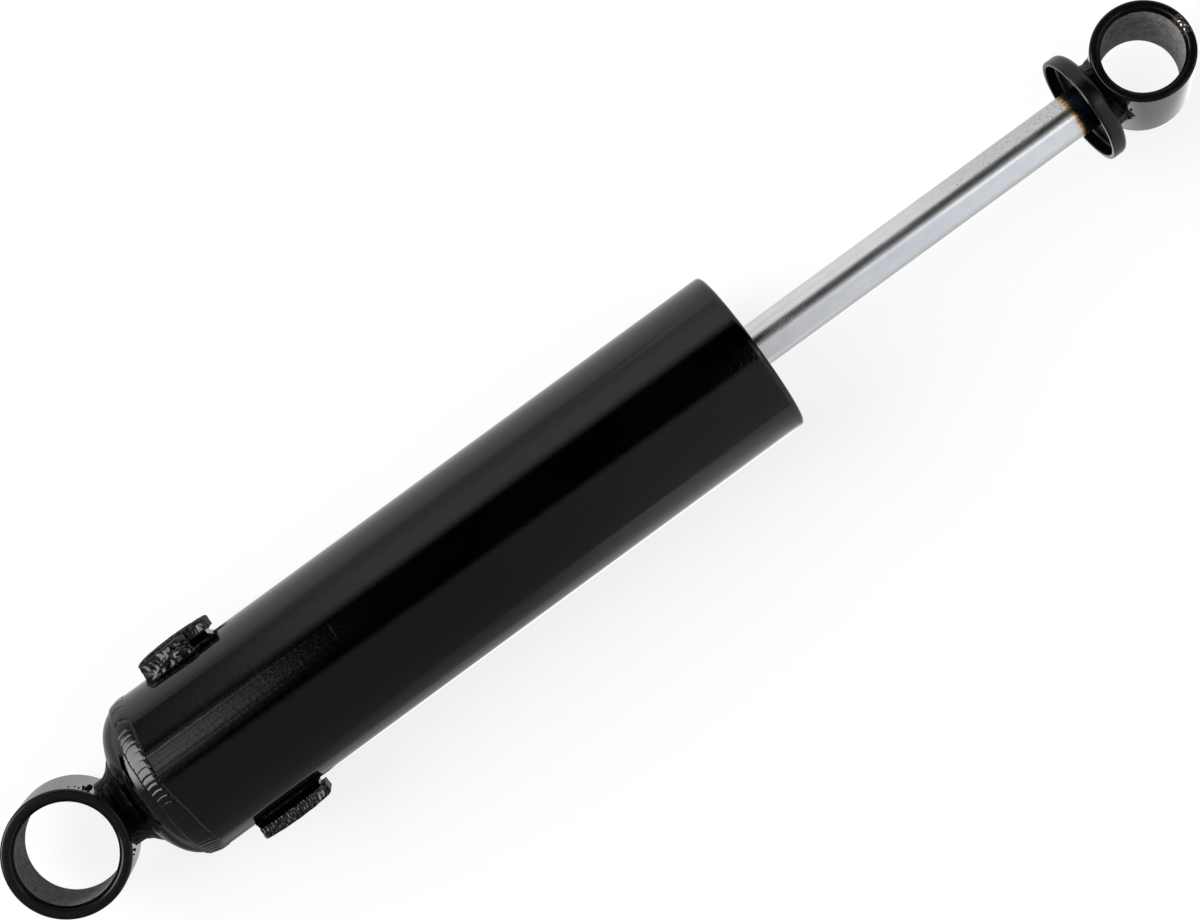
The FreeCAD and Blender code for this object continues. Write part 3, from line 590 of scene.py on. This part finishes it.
eye_black = Finish("satin black paint on the body eye")
eye_finish(eye_black, eye_black.place, *BODY_EYE, 0.28)


def turn_about(shape, axis, degrees):
    turned = Matrix.Rotation(math.radians(degrees), 3, axis)
    bmesh.ops.rotate(shape, verts=shape.verts, cent=(0, 0, 0), matrix=turned)


def eye_ring(bore, outside):
    """A ring about Z, chamfered outside and with a steep mouth, its edges softened by paint."""
    half = EYE_WIDTH / 2
    ring = (
        Section(-half, bore + MOUTH_WIDTH)
        .to(-half, outside - EYE_CHAMFER)
        .to(-half + EYE_CHAMFER, outside)
        .to(-half + EYE_CHAMFER + 0.3, outside)
        .to(half - EYE_CHAMFER - 0.3, outside)
        .to(half - EYE_CHAMFER, outside)
        .to(half, outside - EYE_CHAMFER)
        .to(half, bore + MOUTH_WIDTH)
        .to(half - MOUTH_DEPTH, bore)
        .to(-half + MOUTH_DEPTH, bore)
        .spin(160)
    )
    mouths = []
    for end in (-half, half):
        mouths += ring_edges(ring, end, bore + MOUTH_WIDTH)
    round_edges(ring, mouths, 0.34, 6)
    corners = []
    for x, radius in ((EYE_CHAMFER, outside), (0, outside - EYE_CHAMFER)):
        corners += ring_edges(ring, x - half, radius) + ring_edges(ring, half - x, radius)
    round_edges(ring, corners, 0.12, 3)
    turn_about(ring, "Y", -90)
    return ring


body_ring = eye_ring(*BODY_EYE)
make_piece(body_ring, "eye_on_body", eye_black.material, "body", "body_eye", sharp=25)


# Weld neck of the body eye: weld metal built up between the eye and the dome, hollow where
# the torch could not reach, and painted. Beads of spatter have stuck beside it.

# Painted shade: the necks and the right lug's weld lie in shade, so they get a dull copy of the
# weld paint that reflects little and is a shade darker.
shaded_weld_black = Finish("dull black paint standing for shade on the welds")
neck_skin = shaded_weld_black.grain(0.4, 3.0, 0.6) * 0.5 + shaded_weld_black.grain(1.6, 2.0) * 0.5
shaded_weld_black.done(
    Base_Color=shaded_weld_black.blend(
        shaded_weld_black.grain(1.5, 3.0).rise(0.45, 0.7),
        colour(0.0003, 0.0003, 0.0003),
        colour(0.0016, 0.0015, 0.0014),
    ),
    Roughness=0.22 + shaded_weld_black.grain(1.1, 3.0) * 0.2,
    Specular_IOR_Level=0.1,
    Normal=shaded_weld_black.relief(neck_skin, 0.05),
)


def cut_finer(shape):
    """Cut the edges that run along the shock until lumps can be raised on them."""
    for _ in range(3):
        long = [edge for edge in shape.edges if abs(edge.verts[0].co.x - edge.verts[1].co.x) > 0.35]
        bmesh.ops.subdivide_edges(shape, edges=long, cuts=1)


def push_out(point, radius, distance):
    """Move a point away from the shock's axis."""
    point.co.y *= (radius + distance) / radius
    point.co.z *= (radius + distance) / radius


def spatter(shape, place, size):
    """Add a bead of weld metal that has landed there."""
    bmesh.ops.create_icosphere(
        shape, subdivisions=3, radius=size, matrix=Matrix.Translation(place)
    )


neck = (
    Section(11.6, 0)
    .to(11.6, 9.4)
    .to(14.0, 9.7)
    .to(15.6, 9.6)
    .to(17.2, 9.9)
    .to(18.8, 10.9)
    .to(20.2, 12.5)
    .to(21.2, 13.6)
    .to(22.4, 13.9)
    .to(22.9, 13.2)
    .to(22.9, 0)
    .spin(256)
)
cut_finer(neck)
PORE = Vector((17.0, 8.55, 5.5))
EYE_WALL_MIDDLE = 15.25
for point in neck.verts:
    radius = math.hypot(point.co.y, point.co.z)
    if radius > 9 and point.co.x < 22.6:
        angle = math.atan2(point.co.y, point.co.z)
        lump = 0.3 * round_wander(angle, 5, 8, radius) + 0.12 * noise.noise(point.co / 1.7)
        lump += 0.05 * math.sin(angle * 26 + 1.5 * round_wander(angle, 6, 9, radius))
        from_pore = (point.co - PORE).length
        lump += 0.3 * bell(from_pore - 0.75, 0.3) - 0.5 * bell(from_pore, 0.4)
        push_out(point, radius, lump)
    in_wall = math.sqrt(max(0.0, EYE_WALL_MIDDLE**2 - point.co.y**2))
    point.co.x = max(point.co.x, in_wall)
for degrees, height, size in (
    (36, 5.0, 0.8),
    (38, 8.2, 0.55),
    (41, 6.6, 0.35),
    (44, 9.4, 0.25),
    (48, 8.0, 0.2),
    (40, 10.3, 0.3),
    (53, 9.0, 0.2),
    (35, 10.9, 0.4),
    (-35, 8, 0.4),
    (-38, 10, 0.25),
):
    at = math.radians(degrees)
    spatter(neck, (17.05 * math.cos(at), 17.05 * math.sin(at), height), size)
bmesh.ops.recalc_face_normals(neck, faces=neck.faces)
make_piece(neck, "eye_neck", shaded_weld_black.material, "body", "body_eye_weld", sharp=60)


# Lugs: two short arched steel plates, pressed to shape, that stand off the tube on their
# welds. The left weld swells to a rough lump along one side, and the rest is thin.

lug_black = Finish("gloss black paint on the lugs")
lug_skin = lug_black.grain(0.5, 3.0, 0.6) * 0.5
lug_skin = lug_skin + lug_black.grain(0.55, 2.0, 0.6, lug_black.stretched(1.0, 0.2, 0.2)) * 0.5
lug_coat = lug_black.blend(
    lug_black.grain(1.0, 3.0, 0.6).rise(0.4, 0.7),
    colour(0.0008, 0.0008, 0.0009),
    colour(0.0040, 0.0038, 0.0036),
)
shiny = lug_black.shader(
    Base_Color=lug_coat,
    Roughness=0.10 + lug_black.grain(1.0, 3.0) * 0.14,
    Specular_IOR_Level=0.5,
    Normal=lug_black.relief(lug_skin, 0.06),
)
# Painted shade: faces that stand sideways, not facing up or down, are given a dull copy of the
# paint that reflects little.
painted_shade_copy = lug_black.shader(Base_Color=lug_coat, Roughness=0.6, Specular_IOR_Level=0.1)
_, _, facing_up = lug_black.axes(lug_black.node("ShaderNodeTexCoord", output="Normal"))
lug_black.show(lug_black.mix((facing_up * facing_up).rise(0.5, 0.2), shiny, painted_shade_copy))

LUG_MIDDLE = 53
LUG_BASE = 25.31
LUG_LENGTH = 21
LUG_WIDTH = 12
LUG_THICKNESS = 2.9
ARCH_RADIUS = 80

# The welds at levels from 0, the sunk foot, to 1, the top inside the plate: the level, the
# distance from the shock's axis and the half width.
FULL_WELD = (
    (0.0, 22.0, 8.2),
    (0.12, 22.7, 8.8),
    (0.35, 24.4, 8.3),
    (0.6, 26.2, 7.6),
    (0.85, 27.6, 6.7),
    (1.0, 28.0, 5.5),
)
THIN_WELD = (
    (0.0, 22.6, 6.3),
    (0.12, 23.4, 6.6),
    (0.3, 24.2, 5.2),
    (0.5, 25.0, 4.5),
    (1.0, 27.0, 4.3),
)


def between(levels, level):
    """The distance from the axis and the half width at a level of a weld."""
    for low, high in zip(levels, levels[1:]):
        if level <= high[0]:
            part = (level - low[0]) / (high[0] - low[0])
            return Vector(low[1:]).lerp(Vector(high[1:]), part)
    return Vector(levels[-1][1:])


def arch(x):
    """How far the plate stands above its ends, at a distance from its middle."""
    return math.sqrt(ARCH_RADIUS**2 - x**2) - math.sqrt(ARCH_RADIUS**2 - (LUG_LENGTH / 2) ** 2)


for side, name in ((1, "left"), (-1, "right")):
    plate = bmesh.new()
    bmesh.ops.create_grid(plate, x_segments=110, y_segments=12, size=0.5)
    bmesh.ops.scale(plate, vec=(LUG_LENGTH, LUG_WIDTH, 1), verts=plate.verts)
    turn_about(plate, "X", -90)
    wall = bmesh.ops.extrude_face_region(plate, geom=plate.faces[:])
    lifted = [item for item in wall["geom"] if isinstance(item, bmesh.types.BMVert)]
    bmesh.ops.translate(plate, verts=lifted, vec=(0, LUG_THICKNESS, 0))
    bmesh.ops.recalc_face_normals(plate, faces=plate.faces)
    rims = [edge for edge in plate.edges if edge.calc_face_angle(0) > math.radians(60)]
    round_edges(plate, rims, 0.09, 2)
    walls = [edge for edge in plate.edges if abs(edge.verts[0].co.y - edge.verts[1].co.y) > 1.5]
    bmesh.ops.subdivide_edges(plate, edges=walls, cuts=9)
    for point in plate.verts:
        x, depth, z = point.co
        upper = 1 if z > 5.7 else 0
        ribs = noise.noise(Vector((x / 0.36, depth / 2.6, side * 9)))
        ribs += 0.6 * noise.noise(Vector((x / 0.9, depth / 0.9, side * 5)))
        facet = math.exp(-(((x - 8.0) / 1.5) ** 4) - ((depth - 1.5) / 1.35) ** 4) * upper
        sheared = 0.08 * ribs
        if side < 0:
            sheared = 0.15 * ribs + 0.10 * (depth - LUG_THICKNESS)
        z += upper * (1 - facet) * sheared
        z += facet * (0.16 * (x - 9.2) - 0.32 * side * (depth - 1.5) + 0.14 * ribs)
        corner = min(1.0, max(0.0, (abs(x) - 9.6) / 0.9))
        z -= math.copysign(0.5 * corner**2, z) if abs(z) > 4 else 0
        rough = 0.08 * noise.noise(Vector((x, depth, z + side * 20)) / 1.7)
        y = LUG_BASE + depth + arch(x) * (0.3 + 0.7 * depth / LUG_THICKNESS) + rough
        y -= 0.35 * corner**2 * depth / LUG_THICKNESS
        worn = 0.15 * noise.noise(Vector((x, depth, z)) / 2.5)
        point.co = (LUG_MIDDLE + x + worn, side * y, z)
    bmesh.ops.recalc_face_normals(plate, faces=plate.faces)
    skin = lug_black.material
    make_piece(plate, f"lug_{name}_plate", skin, "body", f"lug_{name}", sharp=50)

    lump = bmesh.new()
    bmesh.ops.create_cube(lump, size=1)
    for axis, cuts in ((0, 109), (1, 23), (2, 17)):
        rows = []
        for edge in lump.edges:
            if abs((edge.verts[0].co - edge.verts[1].co)[axis]) > 0.5:
                rows.append(edge)
        bmesh.ops.subdivide_edges(lump, edges=rows, cuts=cuts, use_grid_fill=True)
    for point in lump.verts:
        along_lug, level, across_lug = point.co.x + 0.5, point.co.y + 0.5, point.co.z * 2
        in_foot = max(0.0, 1 - level / 0.3)
        first = 42.75 - (2.0 if side > 0 else 0.4) * in_foot
        last = 62.1 + 2.3 * in_foot
        x = first + (last - first) * along_lug
        y, half = between(THIN_WELD, level)
        full = 0.0
        if side > 0 and across_lug > 0:
            full = 1 / (1 + math.exp((x - 57.6) / 0.25))
            tall_y, tall_half = between(FULL_WELD, level)
            y += (tall_y - y) * full
            half += (tall_half - half) * full
        y += arch(x - LUG_MIDDLE) * level * 0.8
        half *= 1 - 0.35 * in_foot * abs(along_lug * 2 - 1) ** 6
        spot = Vector((x, y, side * 30))
        lumps = 0.15 * noise.noise(spot / 2.6) + 0.03 * noise.noise(spot / 0.8)
        if full > 0:
            crease = 0.5 - abs(noise.noise(spot / 2.4 + Vector((3, 7, 1))))
            dome = math.exp(-(((x - 54.0) / 3.8) ** 2) - ((y - 27.2) / 1.7) ** 2)
            hollow = math.exp(-(((x - 54.4) / 1.7) ** 2) - ((y - 25.1) / 0.8) ** 2)
            from_streak = 0.264 * (x - 49.3) - 0.964 * (y - 25.05)
            from_streak += 0.4 * noise.noise(spot / 0.9)
            streak = math.exp(-((from_streak / 0.55) ** 2) - ((x - 49.3) / 3.3) ** 4)
            lumps += full * (0.2 * crease + 0.5 * dome - 0.8 * hollow + 0.4 * streak)
            ribs = noise.noise(Vector(((x + y) / 1.3, (x - y) / 5.0, 4.0)))
            lumps += full * 0.13 * ribs * bell(x - 45.5, 2.5)
        edge = abs(across_lug)
        z = across_lug * half + math.copysign(lumps, across_lug) * edge**3
        bottom = 0.10 * noise.noise(Vector((x / 1.1, z / 1.1, 8.0))) * edge
        worn = 0.2 * noise.noise(spot / 1.6 + Vector((5, 5, z / 3)))
        point.co = (x + worn, side * (y + bottom), z)
    bmesh.ops.recalc_face_normals(lump, faces=lump.faces)
    skin = (weld_black if side > 0 else shaded_weld_black).material
    make_piece(lump, f"lug_{name}_bead", skin, "body", f"lug_{name}_weld", sharp=60)


# Rod guide and seals: the turned aluminium guide fills the lip's hole, with a rubber wiper
# in it round the rod. Bush, seals, stop ring and shims are hidden behind them.

def dress(finish, *nodes):
    """Give CAD nodes whose shape is right their finish."""
    for node in nodes:
        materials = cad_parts[node].data.materials
        if not materials:
            materials.append(finish)
        for place in range(len(materials)):
            materials[place] = finish


guide_metal = Finish("turned aluminium")
turning_marks = guide_metal.grain(0.25, 1.0, 0.5, guide_metal.stretched(1.0, 0.05, 0.05))
guide_metal.done(
    Base_Color=guide_metal.blend(
        guide_metal.grain(4.0, 3.0), colour(0.62, 0.63, 0.65), colour(0.74, 0.75, 0.77)
    ),
    Metallic=1.0,
    Roughness=0.26 + turning_marks * 0.14,
    Normal=guide_metal.relief(turning_marks, 0.008),
)
dress(guide_metal.material, "rod_guide", "floating_piston")

rubber = Finish("black rubber")
rubber.done(
    Base_Color=rubber.blend(
        rubber.grain(1.2, 4.0, 0.6), colour(0.010, 0.010, 0.010), colour(0.022, 0.021, 0.020)
    ),
    Roughness=0.55 + rubber.grain(0.5, 3.0) * 0.2,
    Normal=rubber.relief(rubber.grain(0.2, 2.0), 0.01),
)
dress(
    rubber.material,
    "wiper_seal",
    "oil_seal",
    "guide_oring",
    "floating_piston_oring",
    "top_out_bumper",
)

bronze = Finish("sintered bronze")
bronze.done(
    Base_Color=bronze.blend(
        bronze.grain(0.6, 4.0, 0.7), colour(0.42, 0.24, 0.10), colour(0.62, 0.40, 0.18)
    ),
    Metallic=1.0,
    Roughness=0.34 + bronze.grain(0.4, 3.0) * 0.16,
    Normal=bronze.relief(bronze.grain(0.15, 2.0), 0.01),
)
dress(bronze.material, "guide_bush")

hard_steel = Finish("ground spring steel")
ground = hard_steel.grain(0.2, 2.0, 0.6, hard_steel.stretched(1.0, 1.0, 0.1))
hard_steel.done(
    Base_Color=hard_steel.blend(
        hard_steel.grain(3.0, 3.0), colour(0.40, 0.40, 0.42), colour(0.54, 0.54, 0.55)
    ),
    Metallic=1.0,
    Roughness=0.25 + ground * 0.2,
    Normal=hard_steel.relief(ground, 0.006),
)
for number in (1, 2, 3, 4):
    dress(hard_steel.material, f"rebound_shim_{number}", f"compression_shim_{number}")
dress(
    hard_steel.material, "seal_washer", "guide_stop_ring", "stop_plate", "shim_washer", "piston_nut"
)


# Piston: sintered iron with drilled ports and a split plastic band that rubs on the bore.

iron = Finish("sintered iron")
iron.done(
    Base_Color=iron.blend(
        iron.grain(0.7, 4.0, 0.7), colour(0.16, 0.16, 0.17), colour(0.26, 0.26, 0.27)
    ),
    Metallic=1.0,
    Roughness=0.42 + iron.grain(0.3, 3.0) * 0.2,
    Normal=iron.relief(iron.grain(0.18, 3.0), 0.02),
)
dress(iron.material, "piston")

band_plastic = Finish("bronze filled plastic band")
band_plastic.done(
    Base_Color=band_plastic.blend(
        band_plastic.grain(0.5, 4.0, 0.6), colour(0.13, 0.075, 0.035), colour(0.20, 0.12, 0.06)
    ),
    Roughness=0.45 + band_plastic.grain(0.3, 3.0) * 0.15,
    Normal=band_plastic.relief(band_plastic.grain(0.2, 2.0), 0.01),
)
dress(band_plastic.material, "piston_band")


# Piston rod: ground and chromed steel. The heat of welding has tinted its end beside the cup
# straw, brown and blue, and a few drops of soot have settled there.

plating = Finish("chrome plating with heat tint")
length, left, height = plating.axes(plating.place)
fine = plating.grain(0.12, 2.0, 0.6)
drawn = plating.grain(1.1, 3.0, 0.6, plating.stretched(0.12, 1.0, 1.0))
cloud = plating.grain(6.0, 4.0, 0.6)
# Painted shade: the rod's +Y side is painted darker, with fine dark specks, and darker still
# towards the cup; it is also made a little rougher.
dull_shaded_side = left.rise(0.001, 0.004)
streaks = plating.grain(0.3, 2.0, 0.6, plating.stretched(0.1, 1.0, 1.0))
jagged = plating.grain(0.8, 3.0, 0.65, plating.stretched(0.3, 1.0, 1.0)) - 0.5
heat = length * 1000 + jagged * 2.6 + (plating.grain(5.0, 2.0) - 0.5) * 1.2
base = plating.blend(
    cloud.rise(0.3, 0.75), colour(0.83, 0.845, 0.86), colour(0.90, 0.90, 0.895)
)
base = plating.blend(fine.rise(0.48, 0.68) * dull_shaded_side * 0.35, base, colour(0.50, 0.49, 0.48))
near_cup = (length * 1000).rise(265, 300)
base = plating.blend(near_cup * dull_shaded_side * 0.5, base, colour(0.52, 0.52, 0.53))
base = plating.blend(heat.rise(322.4, 324.6) * 0.4, base, colour(0.66, 0.54, 0.36))
base = plating.blend(heat.rise(324.2, 324.9), base, colour(0.50, 0.25, 0.07))
base = plating.blend(heat.rise(325.1, 325.6), base, colour(0.07, 0.035, 0.022))
blued = plating.blend(
    streaks.rise(0.52, 0.72), colour(0.010, 0.018, 0.034), colour(0.07, 0.12, 0.18)
)
base = plating.blend(heat.rise(325.5, 326.2), base, blued)
base = plating.blend(heat.rise(327.6, 329.2), base, colour(0.008, 0.008, 0.009))
toward_cup = (length * 1000).rise(268, 322)
soot = (plating.grain(0.42, 2.0, 0.5) + toward_cup * 0.06).rise(0.66, 0.70)
soot = soot * height.rise(0.0, 0.003) * left.rise(-0.001, 0.002) * toward_cup.rise(0.0, 0.3)
base = plating.blend(soot * 0.8, base, colour(0.05, 0.045, 0.04))
plating.done(
    Base_Color=base,
    Metallic=1.0,
    Roughness=0.15 + drawn * 0.12 + dull_shaded_side * 0.06 + heat.rise(324, 328) * 0.12,
    Normal=plating.relief(drawn * 0.6 + fine * 0.4, 0.004),
)
dress(plating.material, "piston_rod")


# Bump stop cup: pressed from sheet steel with an open rim towards the body, slipped on the
# rod and held by the eye's weld. Painted before the rod was wiped clean.

cup_black = Finish("gloss black paint on the cup")
cup_skin = cup_black.grain(0.6, 3.0, 0.6) * 0.5 + cup_black.grain(2.4, 2.0) * 0.5
cup_coat = cup_black.blend(
    cup_black.grain(3.0, 3.0).rise(0.4, 0.7),
    colour(0.0010, 0.0010, 0.0011),
    colour(0.0030, 0.0028, 0.0026),
)
shiny = cup_black.shader(
    Base_Color=cup_coat,
    Roughness=0.15 + cup_black.grain(0.8, 3.0) * 0.10,
    Specular_IOR_Level=0.42,
    Normal=cup_black.relief(cup_skin, 0.03),
)
# Painted shade: nearer the axis than the rim's bore, inside the cup and on its back, the paint is
# swapped for a dull copy that reflects little, except in a ring at the floor's corner.
painted_shade_copy = cup_black.shader(Base_Color=cup_coat, Roughness=0.3, Specular_IOR_Level=0.06)
_, cup_left, cup_height = cup_black.axes(cup_black.place)
from_axis = (cup_left * cup_left + cup_height * cup_height).root() * 1000
painted_shade_mask_in_cup = from_axis.rise(14.5, 14.35) * (1 - from_axis.band(13.45, 14.15, 0.1))
cup_black.show(cup_black.mix(painted_shade_mask_in_cup, shiny, painted_shade_copy))

CUP_RIM = 327.6
CUP_RADIUS = 15.6
CUP_BORE = 14.3

cup = (
    Section(CUP_RIM, CUP_BORE)
    .to(CUP_RIM, CUP_RADIUS)
    .to(330.4, CUP_RADIUS)
    .arc(330.4, 13.6, 90, 8)
    .to(332.4, 6.3)
    .to(330.9, 6.3)
    .to(330.9, 13.5)
    .arc(330.1, 13.5, -90, 6)
    .spin(160)
)
rim = ring_edges(cup, CUP_RIM, CUP_RADIUS) + ring_edges(cup, CUP_RIM, CUP_BORE)
round_edges(cup, rim, 0.35, 4)
for point in cup.verts:
    radius = math.hypot(point.co.y, point.co.z)
    if radius > 9:
        angle = math.atan2(point.co.y, point.co.z)
        point.co.x += 0.10 * round_wander(angle, 10, 11, 15) * (radius - 9) / 6.5
make_piece(cup, "stop_cup", cup_black.material, "rod", "bump_cup")


# Rod eye: the smaller eye, turned a little about the rod. A knock on its face has chipped
# the paint to bare metal. Its weld neck hugs the back of the cup.

ROD_EYE = (11.0, 14.0)
ROD_EYE_X = 348
ROD_EYE_TURN = -17.3

# The eye's own place is counted from its centre and turned with it.
chipped = Finish("satin black paint chipped at one spot")
own_place = chipped.node(
    "ShaderNodeMapping", None, {"Vector": chipped.place, "Location": (-ROD_EYE_X / 1000, 0, 0)}
)
own_place = chipped.node(
    "ShaderNodeMapping",
    None,
    {"Vector": own_place, "Rotation": (-math.radians(ROD_EYE_TURN), 0, 0)},
)
chip_x, chip_y, chip_z = chipped.axes(own_place)
ragged = (chipped.grain(1.3, 4.0, 0.7) - 0.5) * 2.2
spot = chip_x * 1000 + ragged
chip = spot.band(10.9, 13.6, 0.25) * (chip_y * 1000 + ragged * 0.8).band(-3.2, 2.4, 0.3)
chip = chip * (chip_z * 1000).rise(10.8, 11.4) * chipped.grain(0.7, 3.0, 0.7).rise(0.44, 0.52)
# The chip's glints are painted highlights: near-white spots in its colour.
glints = chipped.grain(0.6, 1.0, 0.5).rise(0.62, 0.68)
metal = chipped.blend(
    chipped.grain(0.6, 3.0, 0.7).rise(0.4, 0.6),
    colour(0.020, 0.016, 0.013),
    colour(0.17, 0.135, 0.11),
)
metal = chipped.blend(glints, metal, colour(0.86, 0.83, 0.78))
eye_finish(chipped, own_place, *ROD_EYE, 0.22, chip, metal)

rod_ring = eye_ring(*ROD_EYE)
turn_about(rod_ring, "X", ROD_EYE_TURN)
bmesh.ops.translate(rod_ring, verts=rod_ring.verts, vec=(ROD_EYE_X, 0, 0))
make_piece(rod_ring, "eye_on_rod", chipped.material, "rod", "rod_eye", sharp=25)

rod_neck = (
    Section(332.0, 6.3)
    .to(332.0, 10.4)
    .to(332.9, 10.0)
    .to(334.2, 9.6)
    .to(335.6, 9.4)
    .to(337.2, 9.7)
    .to(338.6, 10.3)
    .to(339.6, 9.8)
    .to(339.6, 5.0)
    .to(336.0, 0.0)
    .to(333.5, 0.0)
    .to(333.5, 6.3)
    .spin(256)
)
cut_finer(rod_neck)
ROD_EYE_WALL_MIDDLE = 12.5
turned = math.radians(ROD_EYE_TURN)
for point in rod_neck.verts:
    radius = math.hypot(point.co.y, point.co.z)
    if radius > 8.5:
        angle = math.atan2(point.co.y, point.co.z)
        lump = 0.35 * round_wander(angle, 3.5, 12, radius) + 0.2 * noise.noise(point.co / 1.6)
        push_out(point, radius, lump)
    sideways = point.co.y * math.cos(turned) + point.co.z * math.sin(turned)
    in_wall = math.sqrt(max(0.0, ROD_EYE_WALL_MIDDLE**2 - sideways**2))
    point.co.x = min(point.co.x, ROD_EYE_X - in_wall)
spatter(rod_neck, (335.8, -6.4, 6.6), 0.85)
spatter(rod_neck, (336.3, 8.9, 4.4), 0.4)
spatter(rod_neck, (335.4, 7.6, 6.3), 0.35)
spatter(rod_neck, (336.6, -9.0, 4.6), 0.4)
bmesh.ops.recalc_face_normals(rod_neck, faces=rod_neck.faces)
make_piece(rod_neck, "rod_neck", shaded_weld_black.material, "rod", "rod_eye_weld", sharp=60)
